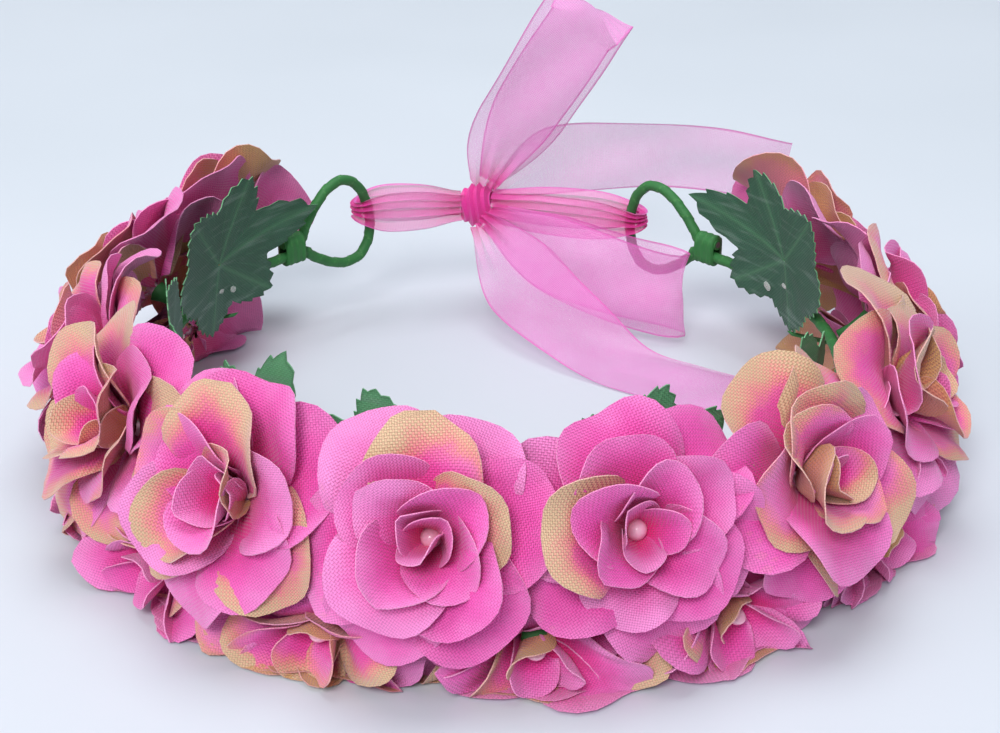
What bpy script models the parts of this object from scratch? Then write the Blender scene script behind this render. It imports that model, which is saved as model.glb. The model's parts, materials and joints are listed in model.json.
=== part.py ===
"""A flower crown: two rows of fabric roses and a few leaves on an open, taped wire hoop with an
eyelet at each arm's end, closed at the nape by a sheer ribbon tied in a bow.

The hoop's axis is Z, the brow is at -Y and the opening for the ribbon is at +Y. Azimuths are in
degrees from the brow, positive towards +X. The crown stands on z = 0, and its origin is the
bottom centre of its box. Lengths are in metres.
"""

import math

import bmesh
import bpy
from mathutils import Matrix, Vector

# Hoop: it is held up by roses that reach a little less than its height below it
HOOP_RADIUS = 0.087
UPPER_HALF_HEIGHT = 0.0230
HOOP_HEIGHT = UPPER_HALF_HEIGHT + 0.004
ARM_AZIMUTH = 138.5
WIRE_DIAMETER = 0.002
TAPE_WALL = 0.0005
TAPE_CLEARANCE = 0.0003
EYELET_LENGTH = 0.025
EYELET_HEIGHT = 0.96 * EYELET_LENGTH
EYELET_PITCH = {"left": 12.0, "right": 4.0}
STRAND_SPACING = 0.0040
FREE_END = 0.007
BINDING_LENGTH = 0.005
BINDING_WALL = 0.0006
BINDING_CLEARANCE = 0.0004
HOOP_STEP = 0.015
EYELET_STEPS = 12

# Roses
UPPER_AZIMUTHS = (-128.5, -107, -84, -59, -34, -8, 16, 41, 68.5, 96, 121.5)
UPPER_TILT = 27.0
UPPER_DEPTH = 0.0185
LOWER_TILT = -14.0
LOWER_REACH = 0.0285
LOWER_HALF_HEIGHT = 0.0106
LOWER_SEAT_ANGLE = -52.0
LOWER_CRUSH = 0.0022
ROSE_CLEARANCE = 0.0012
SEAT_CLEARANCE = 0.0004
HEART_CLEARANCE = 0.0005
UPPER_HEART_HEIGHT = 0.010
LOWER_HEART_HEIGHT = 0.005
PETAL_LOBES = 5
PETAL_THICKNESS = 0.0022
LOBE_DEPTH = 0.07
STEM_RADIUS = 0.0026

# Leaves: azimuth, height of the centre above the hoop, heading of the tip from level, length, breadth as a share, layer
LEAVES = (
    ("left_back", -114, 0.009, 172.0, 0.066, 0.78, 0),
    ("left_side", -84, 0.006, 20.0, 0.047, 1.0, 1),
    ("left_brow", -40, 0.007, 70.0, 0.046, 1.0, 0),
    ("middle_brow", -14, 0.008, 165.0, 0.046, 1.0, 1),
    ("right_brow", 19, 0.008, 15.0, 0.046, 1.0, 0),
    ("right_side", 62, 0.006, 160.0, 0.046, 1.0, 1),
    ("right_back", 113, 0.011, 10.0, 0.066, 0.78, 0),
)
LEAF_THICKNESS = 0.0008
LEAF_CLEARANCE = 0.0003
LEAF_LOBES = ((0, 0.56), (24, 0.30), (50, 0.42), (79, 0.26), (112, 0.34), (150, 0.27), (180, 0.34))
LEAF_BEND_STEP = 0.009

# Ribbon: every route point is given from the knot's centre, for a ribbon 25 mm wide. A wider ribbon
# makes a taller and deeper bow, with the same reach to the eyelets.
RIBBON_WIDTH = 0.025
BOW_SCALE = RIBBON_WIDTH / 0.025
RIBBON_THICKNESS = 0.0009
GATHERED_WIDTH = 0.24 * RIBBON_WIDTH
GATHER_LENGTH = 1.04 * RIBBON_WIDTH
TIE_DIAMETER = 0.0030
TIE_CLEARANCE = 0.0005
KNOT_FROM_EYELETS = Vector((-0.007, 0.0068, 0.0))
KNOT_HALF_SIZES = Vector((0.0055, 0.0045, 0.0065))
KNOT_CLEARANCE = 0.0008
UPPER_LOOP_ROUTE = (
    (0.0022, -0.0022, 0.0076), (0.009, -0.0052, 0.024), (0.021, -0.004, 0.044), (0.0305, 0.001, 0.0565),
    (0.034, 0.0050, 0.0575), (0.030, 0.0070, 0.050), (0.018, 0.0060, 0.030), (0.0042, 0.002, 0.0078),
)
UPPER_LOOP_ACROSS = ((0.80, 0.25, -0.55),) * len(UPPER_LOOP_ROUTE)
LOWER_LOOP_ROUTE = (
    (0.0055, -0.0067, -0.0050), (0.019, -0.0142, -0.0090), (0.039, -0.0237, -0.0140), (0.055, -0.0297, -0.0165),
    (0.061, -0.0282, -0.0170), (0.056, -0.0237, -0.0165), (0.040, -0.0182, -0.0145), (0.019, -0.0097, -0.0095),
    (0.0068, -0.0042, -0.0050),
)
LOWER_LOOP_ACROSS = ((0.0, 0.12, 1.0),) * len(LOWER_LOOP_ROUTE)
BACK_TAIL_ROUTE = (
    (0.0062, 0.0066, 0.0035), (0.022, 0.0160, 0.0075), (0.047, 0.0185, 0.0095), (0.073, 0.0160, 0.0085),
    (0.094, 0.0110, 0.0050),
)
BACK_TAIL_ACROSS = ((0.0, -0.30, 0.95),) * len(BACK_TAIL_ROUTE)
# The front tail falls from its root to the table: its third value is the share of that fall
FRONT_TAIL_ROOT_DROP = 0.0062
FRONT_TAIL_FALL = (
    (0.0012, -0.0082, 0), (0.011, -0.0190, 0.28), (0.026, -0.0330, 0.68), (0.041, -0.0455, 0.98),
    (0.058, -0.0565, 1), (0.078, -0.0680, 1),
)
FRONT_TAIL_ACROSS = (
    (0.45, 0.20, 0.85), (0.50, 0.35, 0.75), (0.60, 0.60, 0.45), (0.62, 0.75, 0.03), (0.60, 0.80, 0), (0.60, 0.80, 0),
)
TABLE_CLEARANCE = 0.0006
BAND_STEP = 0.0085

TAPE_RADIUS = WIRE_DIAMETER / 2 + TAPE_CLEARANCE + TAPE_WALL

COLOURS = {
    "wire": ((0.42, 0.43, 0.42), 0.45, 0.9),
    "tape": ((0.03, 0.26, 0.05), 0.6, 0.0),
    "petal": ((0.88, 0.12, 0.48), 0.7, 0.0),
    "heart": ((0.80, 0.05, 0.36), 0.7, 0.0),
    "leaf": ((0.03, 0.17, 0.07), 0.6, 0.0),
    "ribbon": ((0.86, 0.22, 0.65), 0.35, 0.0),
}


def clear_scene():
    for obj in list(bpy.data.objects):
        bpy.data.objects.remove(obj, do_unlink=True)


def new_collection(name, hidden=False):
    collection = bpy.data.collections.new(name)
    collection.hide_render = hidden
    bpy.context.scene.collection.children.link(collection)
    return collection


def new_material(name):
    colour, roughness, metallic = COLOURS[name]
    material = bpy.data.materials.new(name)
    material.use_nodes = True
    shader = material.node_tree.nodes["Principled BSDF"]
    shader.inputs["Base Color"].default_value = (*colour, 1.0)
    shader.inputs["Roughness"].default_value = roughness
    shader.inputs["Metallic"].default_value = metallic
    material.diffuse_color = (*colour, 1.0)
    return material


def add_piece(name, data, finish):
    """One sub-part: an object in the crown's collection, with a material of its own."""
    obj = bpy.data.objects.new(name, data)
    data.materials.append(new_material(finish))
    crown.objects.link(obj)
    obj.parent = centre
    return obj


def shade_round(mesh, degrees=50):
    mesh.shade_smooth()
    mesh.set_sharp_from_angle(angle=math.radians(degrees))


def mesh_from(bm, name):
    mesh = bpy.data.meshes.new(name)
    bm.to_mesh(mesh)
    bm.free()
    return mesh


def around(azimuth):
    """The outward direction at an azimuth, and the direction in which azimuths grow there."""
    angle = math.radians(azimuth)
    return Vector((math.sin(angle), -math.cos(angle), 0)), Vector((math.cos(angle), math.sin(angle), 0))


def smooth_route(values, places, step):
    """A Catmull-Rom curve through values that belong to these places, read about a step apart."""
    values = [Vector(value) for value in values]
    places = [Vector(place) for place in places]
    ends = [2 * values[0] - values[1], *values, 2 * values[-1] - values[-2]]
    counts = [max(1, round((b - a).length / step)) for a, b in zip(places, places[1:])]
    route = []
    for a, b, c, d, count in zip(ends, ends[1:], ends[2:], ends[3:], counts):
        for i in range(count):
            t = i / count
            route.append(0.5 * (2 * b + (c - a) * t + (2 * a - 5 * b + 4 * c - d) * t * t
                                + (3 * b - a - 3 * c + d) * t ** 3))
    route.append(values[-1])
    return route


def tube(name, points, radius, finish, hollow_wall=None):
    """A round wire through the points, or a sleeve round them that is open at both ends."""
    curve = bpy.data.curves.new(name, "CURVE")
    curve.dimensions = "3D"
    curve.bevel_depth = radius
    curve.bevel_resolution = 2
    curve.use_fill_caps = hollow_wall is None
    spline = curve.splines.new("POLY")
    spline.points.add(len(points) - 1)
    for place, point in zip(spline.points, points):
        place.co = (*point, 1.0)
        place.radius = 1.0
    obj = add_piece(name, curve, finish)
    if hollow_wall:
        wall = obj.modifiers.new("wall", "SOLIDIFY")
        wall.thickness = hollow_wall
        wall.offset = -1
    return obj


def arm_end(side):
    """The middle of the neck, the way the arm points there, and the side's sign."""
    sign = 1 if side == "right" else -1
    out, along = around(sign * ARM_AZIMUTH)
    neck = HOOP_RADIUS * out + Vector((0, 0, HOOP_HEIGHT + STRAND_SPACING / 2))
    return neck, sign * along, sign


def eyelet_points(side):
    """The loop of one arm, from its lower strand round the tip to its free end above the arm."""
    neck, along, sign = arm_end(side)
    pitch = math.radians(EYELET_PITCH[side])
    forward = math.cos(pitch) * along + Vector((0, 0, math.sin(pitch)))
    upward = math.cos(pitch) * Vector((0, 0, 1)) - math.sin(pitch) * along
    widest = 0.77
    points = []
    for i in range(1, EYELET_STEPS):
        turn = 2 * math.pi * i / EYELET_STEPS
        reach = EYELET_LENGTH * (1 - math.cos(turn)) / 2
        rise = -EYELET_HEIGHT / 2 * math.sin(turn) * math.sin(turn / 2) / widest
        rise -= STRAND_SPACING / 2 * math.cos(turn / 2)
        points.append(neck + reach * forward + rise * upward)
    for back in (0.0, FREE_END / 2, FREE_END):
        out, _ = around(sign * (ARM_AZIMUTH - math.degrees(back / HOOP_RADIUS)))
        points.append(HOOP_RADIUS * out + Vector((0, 0, HOOP_HEIGHT + STRAND_SPACING)))
    return points


def eyelet_tip(side):
    return eyelet_points(side)[EYELET_STEPS // 2 - 1]


def hoop_points():
    """The whole wire: left free end, left eyelet, hoop, right eyelet, right free end."""
    hoop = []
    steps = round(math.radians(ARM_AZIMUTH) * HOOP_RADIUS / HOOP_STEP)
    for i in range(-steps, steps + 1):
        out, _ = around(ARM_AZIMUTH * i / steps)
        hoop.append(HOOP_RADIUS * out + Vector((0, 0, HOOP_HEIGHT)))
    return eyelet_points("left")[::-1] + hoop + eyelet_points("right")


def make_hoop():
    points = hoop_points()
    tube("hoop_wire", points, WIRE_DIAMETER / 2, "wire")
    tube("floral_tape", points, TAPE_RADIUS, "tape", hollow_wall=TAPE_WALL)


def stadium(curve, radius, half_span, arc_steps=5):
    """A closed outline of two half circles, one above the other, added to a flat curve."""
    spline = curve.splines.new("POLY")
    spline.use_cyclic_u = True
    spline.points.add(2 * arc_steps + 1)
    for i, place in enumerate(spline.points):
        top = i <= arc_steps
        angle = math.pi * (i if top else i - 1) / arc_steps
        place.co = (radius * math.cos(angle), radius * math.sin(angle) + (half_span if top else -half_span), 0, 1)


def make_binding(side):
    """The tape wound round both strands at an eyelet's neck."""
    sign = 1 if side == "right" else -1
    middle = sign * (ARM_AZIMUTH - math.degrees(FREE_END / 2 / HOOP_RADIUS))
    out, along = around(middle)
    curve = bpy.data.curves.new(f"eyelet_binding_{side}", "CURVE")
    curve.dimensions = "2D"
    curve.fill_mode = "BOTH"
    curve.extrude = BINDING_LENGTH / 2
    inside = TAPE_RADIUS + BINDING_CLEARANCE
    stadium(curve, inside + BINDING_WALL, STRAND_SPACING / 2)
    stadium(curve, inside, STRAND_SPACING / 2)
    obj = add_piece(f"eyelet_binding_{side}", curve, "tape")
    up = Vector((0, 0, 1))
    place = HOOP_RADIUS * out + (HOOP_HEIGHT + STRAND_SPACING / 2) * up
    obj.matrix_local = Matrix.Translation(place) @ Matrix((out, up, out.cross(up))).transposed().to_4x4()


def lobed_round(name, profile, steps, half_width, half_height, seat_shift):
    """A turned profile, of (share of the rim, height, lobing, share of the seat shift) points, whose
    rim has petal lobes, is flattened to its two half sizes, and leans back to its seat."""
    bm = bmesh.new()
    rings = []
    for share, height, lobing, lean in profile:
        ring = []
        for i in range(steps if share else 1):
            turn = 2 * math.pi * i / steps
            reach = share * (1 - lobing * (1 - math.cos(PETAL_LOBES * turn)) / 2)
            ring.append(bm.verts.new((half_width * reach * math.sin(turn),
                                      lean * seat_shift - half_height * reach * math.cos(turn), height)))
        rings.append(ring)
    for ring, following in zip(rings, rings[1:]):
        for i in range(steps):
            corners = [ring[i % len(ring)], following[i % len(following)],
                       following[(i + 1) % len(following)], ring[(i + 1) % len(ring)]]
            bm.faces.new(list(dict.fromkeys(corners)))
    bmesh.ops.recalc_face_normals(bm, faces=bm.faces)
    mesh = mesh_from(bm, name)
    shade_round(mesh)
    return mesh


def petal_profile(half_width, depth):
    """Front hollow, rim and back of a rose's petals, down to the stem that meets the tape."""
    stem = STEM_RADIUS / half_width
    floor = -0.46 * depth
    rim = -0.10 * depth
    return (
        (0, floor, 0, 0), (0.42, floor + 0.0012, 0, 0), (0.72, 0.55 * floor, 0, 0),
        (1.0, rim, 2 * LOBE_DEPTH, 0), (0.97, rim - PETAL_THICKNESS, 2 * LOBE_DEPTH, 0),
        (0.52, floor - PETAL_THICKNESS, 0, 0.25), (1.6 * stem, -0.78 * depth, 0, 0.65),
        (stem, -depth, 0, 1), (0, -depth, 0, 1),
    )


def heart_profile(depth, height):
    """The closed inner petals, standing in the hollow and proud of the rim by the height."""
    floor = -0.46 * depth + HEART_CLEARANCE
    return (
        (0, height, 0, 0), (0.24, 0.88 * height, 0, 0), (0.46, 0.33 * height, 0, 0),
        (0.48, 0.3 * floor, 0, 0), (0.34, floor + 0.0010, 0, 0), (0, floor, 0, 0),
    )


def nearest_half_chords(azimuths, radius):
    """Half the straight distance from each rose to its nearer neighbour."""
    halves = []
    for place, azimuth in enumerate(azimuths):
        beside = [azimuths[i] for i in (place - 1, place + 1) if 0 <= i < len(azimuths)]
        halves.append(min(radius * math.sin(math.radians(abs(azimuth - other) / 2)) for other in beside))
    return halves


def make_rose(name, azimuth, rim_radius, rim_height, tilt, sizes, seat_shift, cutter=None):
    """Petals and heart of one rose. Its sizes are the rim's half width, half height, depth and how
    far the heart stands proud."""
    half_width, half_height, depth, heart_height = sizes
    out, along = around(azimuth)
    lean = math.radians(tilt)
    facing = math.cos(lean) * out + Vector((0, 0, math.sin(lean)))
    place = Matrix.Translation(rim_radius * out + Vector((0, 0, rim_height)))
    place @= Matrix((along, facing.cross(along), facing)).transposed().to_4x4()
    petals = lobed_round(f"{name}_petals", petal_profile(half_width, depth), 15, half_width, half_height, seat_shift)
    heart = lobed_round(f"{name}_heart", heart_profile(depth, heart_height), 10, half_width, half_height, 0)
    for mesh, finish in ((petals, "petal"), (heart, "heart")):
        obj = add_piece(mesh.name, mesh, finish)
        obj.matrix_local = place
        if cutter and mesh is petals:
            cut = obj.modifiers.new("rest", "BOOLEAN")
            cut.operation = "DIFFERENCE"
            cut.object = cutter


def make_upper_row():
    seat = TAPE_RADIUS + SEAT_CLEARANCE + UPPER_DEPTH
    tilt = math.radians(UPPER_TILT)
    rim_radius = HOOP_RADIUS + seat * math.cos(tilt)
    rim_height = HOOP_HEIGHT + seat * math.sin(tilt)
    halves = nearest_half_chords(UPPER_AZIMUTHS, rim_radius)
    for number, (azimuth, half) in enumerate(zip(UPPER_AZIMUTHS, halves), 1):
        sizes = (half - ROSE_CLEARANCE / 2, UPPER_HALF_HEIGHT, UPPER_DEPTH, UPPER_HEART_HEIGHT)
        make_rose(f"upper_rose_{number:02d}", azimuth, rim_radius, rim_height, UPPER_TILT, sizes, 0)


def make_lower_row(cutter):
    """The roses between and under the upper ones, pressed flat where the crown rests on them."""
    azimuths = [(a + b) / 2 for a, b in zip(UPPER_AZIMUTHS, UPPER_AZIMUTHS[1:])]
    tilt = math.radians(LOWER_TILT)
    rim_radius = HOOP_RADIUS + LOWER_REACH
    rim_height = LOWER_HALF_HEIGHT * math.cos(tilt) - LOWER_CRUSH
    seat = TAPE_RADIUS + SEAT_CLEARANCE + STEM_RADIUS
    seat_angle = math.radians(LOWER_SEAT_ANGLE)
    back = Vector((seat * math.cos(seat_angle) - LOWER_REACH, HOOP_HEIGHT + seat * math.sin(seat_angle) - rim_height))
    depth = -back.dot(Vector((math.cos(tilt), math.sin(tilt))))
    shift = back.dot(Vector((-math.sin(tilt), math.cos(tilt))))
    halves = nearest_half_chords(azimuths, rim_radius)
    for number, (azimuth, half) in enumerate(zip(azimuths, halves), 1):
        sizes = (half - ROSE_CLEARANCE / 2, LOWER_HALF_HEIGHT, depth, LOWER_HEART_HEIGHT)
        make_rose(f"lower_rose_{number:02d}", azimuth, rim_radius, rim_height, LOWER_TILT, sizes, shift, cutter)


def make_leaf(name, azimuth, height, heading, length, breadth, layer):
    """A five-lobed leaf, curved round inside the taped hoop."""
    curve = bpy.data.curves.new(name, "CURVE")
    curve.dimensions = "2D"
    curve.fill_mode = "BOTH"
    curve.extrude = LEAF_THICKNESS / 2
    outline = [(turn, reach) for turn, reach in LEAF_LOBES]
    outline += [(-turn, reach) for turn, reach in LEAF_LOBES[-2:0:-1]]
    spline = curve.splines.new("POLY")
    spline.use_cyclic_u = True
    spline.points.add(len(outline) - 1)
    facing = Matrix.Rotation(math.radians(heading), 2)
    for place, (turn, reach) in zip(spline.points, outline):
        angle = math.radians(turn)
        point = length * reach * (facing @ Vector((math.cos(angle), breadth * math.sin(angle))))
        place.co = (point.x, point.y, 0, 1)
    flat = bpy.data.objects.new(name, curve)
    crown.objects.link(flat)
    bpy.context.view_layer.update()
    bm = bmesh.new()
    bm.from_mesh(bpy.data.meshes.new_from_object(flat.evaluated_get(bpy.context.evaluated_depsgraph_get())))
    bpy.data.objects.remove(flat)
    bmesh.ops.remove_doubles(bm, verts=bm.verts, dist=1e-6)
    reach = math.ceil(length / LEAF_BEND_STEP)
    for i in range(-reach, reach + 1):
        bmesh.ops.bisect_plane(bm, geom=bm.verts[:] + bm.edges[:] + bm.faces[:], dist=1e-7,
                               plane_co=(i * LEAF_BEND_STEP, 0, 0), plane_no=(1, 0, 0))
    outside = HOOP_RADIUS - TAPE_RADIUS - LEAF_CLEARANCE - LEAF_THICKNESS / 2
    radius = outside - layer * (LEAF_THICKNESS + LEAF_CLEARANCE)
    for vert in bm.verts:
        out, _ = around(azimuth + math.degrees(vert.co.x / radius))
        vert.co = (radius + vert.co.z) * out + Vector((0, 0, HOOP_HEIGHT + height + vert.co.y))
    mesh = mesh_from(bm, name)
    add_piece(name, mesh, "leaf")


def make_tie(side, knot):
    """A gathered strand of ribbon from the knot, through an eyelet round its tip, and back."""
    tip = eyelet_tip(side)
    ahead = knot - tip
    ahead.z = 0
    ahead.normalize()
    beside = Vector((0, 0, 1)).cross(ahead)
    turn_radius = TAPE_RADIUS + TIE_CLEARANCE + TIE_DIAMETER / 2
    root = knot + Vector((math.copysign(KNOT_HALF_SIZES.x + KNOT_CLEARANCE, tip.x - knot.x), 0, 0))
    root_gap = TIE_DIAMETER / 2 + TIE_CLEARANCE
    run = [root + root_gap * beside, root.lerp(tip, 0.35) + 0.8 * turn_radius * beside]
    turn = [tip + turn_radius * (math.cos(angle) * beside - math.sin(angle) * ahead)
            for angle in (math.pi * i / 6 for i in range(7))]
    back = [root.lerp(tip, 0.35) - 0.8 * turn_radius * beside, root - root_gap * beside]
    tube(f"ribbon_tie_{side}", run + turn + back, TIE_DIAMETER / 2, "ribbon")


def make_knot(knot):
    bm = bmesh.new()
    bmesh.ops.create_uvsphere(bm, u_segments=10, v_segments=6, radius=1.0)
    bmesh.ops.scale(bm, vec=KNOT_HALF_SIZES, verts=bm.verts)
    mesh = mesh_from(bm, "bow_knot")
    shade_round(mesh)
    add_piece("bow_knot", mesh, "ribbon").location = knot


def make_band(name, knot, route, across, closed):
    """A stretch of ribbon along its route, gathered at the knot and full width beyond, with the
    direction of its width at each route point. A loop is gathered at both of its ends."""
    points = smooth_route(route, route, BAND_STEP)
    sides = smooth_route(across, route, BAND_STEP)
    lengths = [0.0]
    for a, b in zip(points, points[1:]):
        lengths.append(lengths[-1] + (b - a).length)
    bm = bmesh.new()
    rows = []
    for point, side, run in zip(points, sides, lengths):
        from_knot = min(run, lengths[-1] - run) if closed else run
        opened = math.sin(math.pi / 2 * min(1.0, from_knot / GATHER_LENGTH))
        half = (GATHERED_WIDTH + (RIBBON_WIDTH - GATHERED_WIDTH) * opened) / 2
        reach = half * side.normalized()
        rows.append((bm.verts.new(point - reach), bm.verts.new(point + reach)))
    for (a, b), (c, d) in zip(rows, rows[1:]):
        bm.faces.new((a, b, d, c))
    mesh = mesh_from(bm, name)
    mesh.shade_smooth()
    obj = add_piece(name, mesh, "ribbon")
    obj.location = knot
    wall = obj.modifiers.new("cloth", "SOLIDIFY")
    wall.thickness = RIBBON_THICKNESS
    wall.offset = 0


def front_tail_route(knot):
    """From the knot down to the table, where the tail lies flat."""
    root = -BOW_SCALE * FRONT_TAIL_ROOT_DROP
    fall = root + knot.z - RIBBON_THICKNESS / 2 - TABLE_CLEARANCE
    return [(x, BOW_SCALE * y, root - share * fall) for x, y, share in FRONT_TAIL_FALL]


def bow_route(route):
    return [(x, BOW_SCALE * y, BOW_SCALE * z) for x, y, z in route]


def make_ribbon():
    knot = (eyelet_tip("left") + eyelet_tip("right")) / 2 + KNOT_FROM_EYELETS
    make_knot(knot)
    make_tie("left", knot)
    make_tie("right", knot)
    make_band("bow_loop_upper", knot, bow_route(UPPER_LOOP_ROUTE), UPPER_LOOP_ACROSS, True)
    make_band("bow_loop_lower", knot, bow_route(LOWER_LOOP_ROUTE), LOWER_LOOP_ACROSS, True)
    make_band("ribbon_tail_front", knot, front_tail_route(knot), FRONT_TAIL_ACROSS, False)
    make_band("ribbon_tail_back", knot, bow_route(BACK_TAIL_ROUTE), BACK_TAIL_ACROSS, False)


def make_rest_cutter():
    """A slab under z = 0, which leaves each lower rose a flat place to rest on."""
    bm = bmesh.new()
    bmesh.ops.create_cube(bm, size=1.0)
    span, thickness = 4 * HOOP_RADIUS, 0.05
    bmesh.ops.scale(bm, vec=(span, span, thickness), verts=bm.verts)
    obj = bpy.data.objects.new("rest_cutter", mesh_from(bm, "rest_cutter"))
    obj.parent = centre
    obj.location = (0, 0, -thickness / 2)
    obj.hide_render = True
    obj.display_type = "WIRE"
    cutters.objects.link(obj)
    return obj


def centre_the_box():
    """Moves the hoop's centre so that the middle of the whole box is over the origin."""
    bpy.context.view_layer.update()
    graph = bpy.context.evaluated_depsgraph_get()
    places = []
    for obj in crown.objects:
        if obj.type == "EMPTY":
            continue
        solid = obj.evaluated_get(graph)
        places += [obj.matrix_world @ vert.co for vert in solid.to_mesh().vertices]
        solid.to_mesh_clear()
    for axis in (0, 1):
        values = [place[axis] for place in places]
        centre.location[axis] = -(min(values) + max(values)) / 2


clear_scene()
crown = new_collection("flower_crown")
cutters = new_collection("cutters", hidden=True)
centre = bpy.data.objects.new("hoop_centre", None)
crown.objects.link(centre)

make_hoop()
make_binding("left")
make_binding("right")
make_upper_row()
make_lower_row(make_rest_cutter())
for leaf, *measures in LEAVES:
    make_leaf(f"leaf_{leaf}", *measures)
make_ribbon()
centre_the_box()
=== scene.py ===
import json
import math
import random

import bmesh
import bpy
import numpy as np
from bpy.props import FloatProperty, FloatVectorProperty, IntProperty, PointerProperty
from mathutils import Matrix, Vector

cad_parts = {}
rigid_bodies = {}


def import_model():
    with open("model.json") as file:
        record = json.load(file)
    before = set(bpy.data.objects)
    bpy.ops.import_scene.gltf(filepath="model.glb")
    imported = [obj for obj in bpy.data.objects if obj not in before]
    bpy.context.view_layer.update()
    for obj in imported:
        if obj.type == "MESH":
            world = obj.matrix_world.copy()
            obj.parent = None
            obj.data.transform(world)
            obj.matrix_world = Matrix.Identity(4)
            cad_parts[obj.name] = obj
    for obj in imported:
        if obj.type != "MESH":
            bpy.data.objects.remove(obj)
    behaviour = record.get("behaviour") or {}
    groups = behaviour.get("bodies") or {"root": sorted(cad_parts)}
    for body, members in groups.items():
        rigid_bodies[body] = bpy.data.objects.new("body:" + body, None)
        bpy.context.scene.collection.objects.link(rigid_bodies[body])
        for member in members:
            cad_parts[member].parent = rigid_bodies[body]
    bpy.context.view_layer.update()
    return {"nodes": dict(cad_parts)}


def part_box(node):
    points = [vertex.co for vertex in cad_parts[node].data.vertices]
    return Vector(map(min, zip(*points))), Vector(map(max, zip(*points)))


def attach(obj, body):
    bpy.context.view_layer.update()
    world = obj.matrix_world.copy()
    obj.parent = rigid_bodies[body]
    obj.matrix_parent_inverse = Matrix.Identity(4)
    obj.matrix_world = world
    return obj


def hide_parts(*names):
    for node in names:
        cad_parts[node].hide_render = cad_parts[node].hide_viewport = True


bl_info = {
    "name": "Flower crown",
    "version": (1, 0, 0),
    "blender": (4, 5, 0),
    "location": "View3D > Sidebar > Flower crown",
    "description": "Cloth roses, leaves, taped wire hoop and organza bow on the crown's frame",
    "category": "Add Mesh",
}

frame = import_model()

# The crown's own layout, in metres and degrees. Azimuth 0 is the brow and grows to the wearer's left.
HOOP_RADIUS = 0.087
HOOP_HEIGHT = 0.027
ARM_AZIMUTH = 138.5
WIRE_RADIUS = 0.001
TAPE_RADIUS = 0.0018
EYELET_LENGTH = 0.025
EYELET_HEIGHT = 0.024
EYELET_PITCH = {"left": 12.0, "right": 4.0}
STRAND_SPACING = 0.0040
FREE_END = 0.007
UPPER_AZIMUTHS = (-128.5, -107, -84, -59, -34, -8, 16, 41, 68.5, 96, 121.5)
UPPER_TILT = 27.0
UPPER_DEPTH = 0.0185
LOWER_TILT = -14.0
LOWER_REACH = 0.0285
LOWER_HALF_HEIGHT = 0.0106
LOWER_CRUSH = 0.0022
LOWER_SEAT_ANGLE = -52.0
STEM_RADIUS = 0.0026
SEAT_CLEARANCE = 0.0004
LEAVES = (
    ("leaf_left_back", -114, 0.036, 172, 0.066, 0.78, 0),
    ("leaf_left_side", -84, 0.033, 20, 0.047, 1.0, 1),
    ("leaf_left_brow", -40, 0.034, 70, 0.046, 1.0, 0),
    ("leaf_middle_brow", -14, 0.037, 165, 0.046, 1.0, 1),
    ("leaf_right_brow", 19, 0.037, 15, 0.046, 1.0, 0),
    ("leaf_right_side", 62, 0.033, 160, 0.046, 1.0, 1),
    ("leaf_right_back", 113, 0.038, 10, 0.066, 0.78, 0),
)
LEAF_LOBES = ((0, 0.56), (24, 0.30), (50, 0.42), (79, 0.26), (112, 0.34), (150, 0.27), (180, 0.34))
KNOT_HALF = Vector((0.0055, 0.0045, 0.0065))
RIBBON_WIDTH = 0.025
KNOT_WRAP = (0.014, 0.036)
FLOOR_GAP = 0.0004
ORGANZA_PITCH = 0.0005
LEAF_STRETCH = 1.10
LAYER_STEP = 0.0011
LEAF_TOOTH = 8.0
ROSE_FOOT = -0.0095
# How much of what a rose sticks out past its half of the gap is pressed in, and how much of it tips.
PRESSED_SHARE, TIPPED_SHARE = 0.26, 0.42
SIZE_SPREAD = 0.08
VIEW_LENS = 64.1
VIEW_DISTANCE = 0.46
VIEW_DOWN = 26.5
VIEW_TARGET = Vector((0, -0.003, 0.0235))
TABLE_HALF = 4.0

_hoop_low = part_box("hoop_wire")[0]
CENTRE = Vector((0, _hoop_low.y + HOOP_RADIUS + WIRE_RADIUS, 0))
KNOT = (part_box("bow_knot")[0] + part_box("bow_knot")[1]) / 2


def to_linear(code):
    """An sRGB hex colour as linear red, green, blue and alpha."""
    parts = [int(code[i:i + 2], 16) / 255 for i in (0, 2, 4)]
    return tuple(c / 12.92 if c <= 0.04045 else ((c + 0.055) / 1.055) ** 2.4 for c in parts) + (1.0,)


def feed(node, inputs):
    """Sets a node's inputs to a value, or joins them to another node's output."""
    for key, value in inputs.items():
        if isinstance(value, bpy.types.NodeSocket):
            node.id_data.links.new(value, node.inputs[key])
        else:
            node.inputs[key].default_value = value


def add(tree, kind, inputs=None, output=0, **settings):
    """Adds a node with its settings and inputs, and gives one of its outputs, or the node for None."""
    node = tree.nodes.new(kind)
    for key, value in settings.items():
        setattr(node, key, value)
    feed(node, inputs or {})
    return node if output is None else node.outputs[output]


def around(azimuth):
    """The outward direction at an azimuth, and the direction in which azimuths grow there."""
    angle = math.radians(azimuth)
    return Vector((math.sin(angle), -math.cos(angle), 0)), Vector((math.cos(angle), math.sin(angle), 0))


def smooth_route(values, places, step):
    """A Catmull-Rom curve through values that belong to these places, read about a step apart."""
    values = [Vector(value) for value in values]
    places = [Vector(place) for place in places]
    ends = [2 * values[0] - values[1], *values, 2 * values[-1] - values[-2]]
    counts = [max(1, round((b - a).length / step)) for a, b in zip(places, places[1:])]
    route = []
    for a, b, c, d, count in zip(ends, ends[1:], ends[2:], ends[3:], counts):
        for i in range(count):
            t = i / count
            route.append(0.5 * (2 * b + (c - a) * t + (2 * a - 5 * b + 4 * c - d) * t * t
                                + (3 * b - a - 3 * c + d) * t ** 3))
    route.append(values[-1])
    return route


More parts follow.
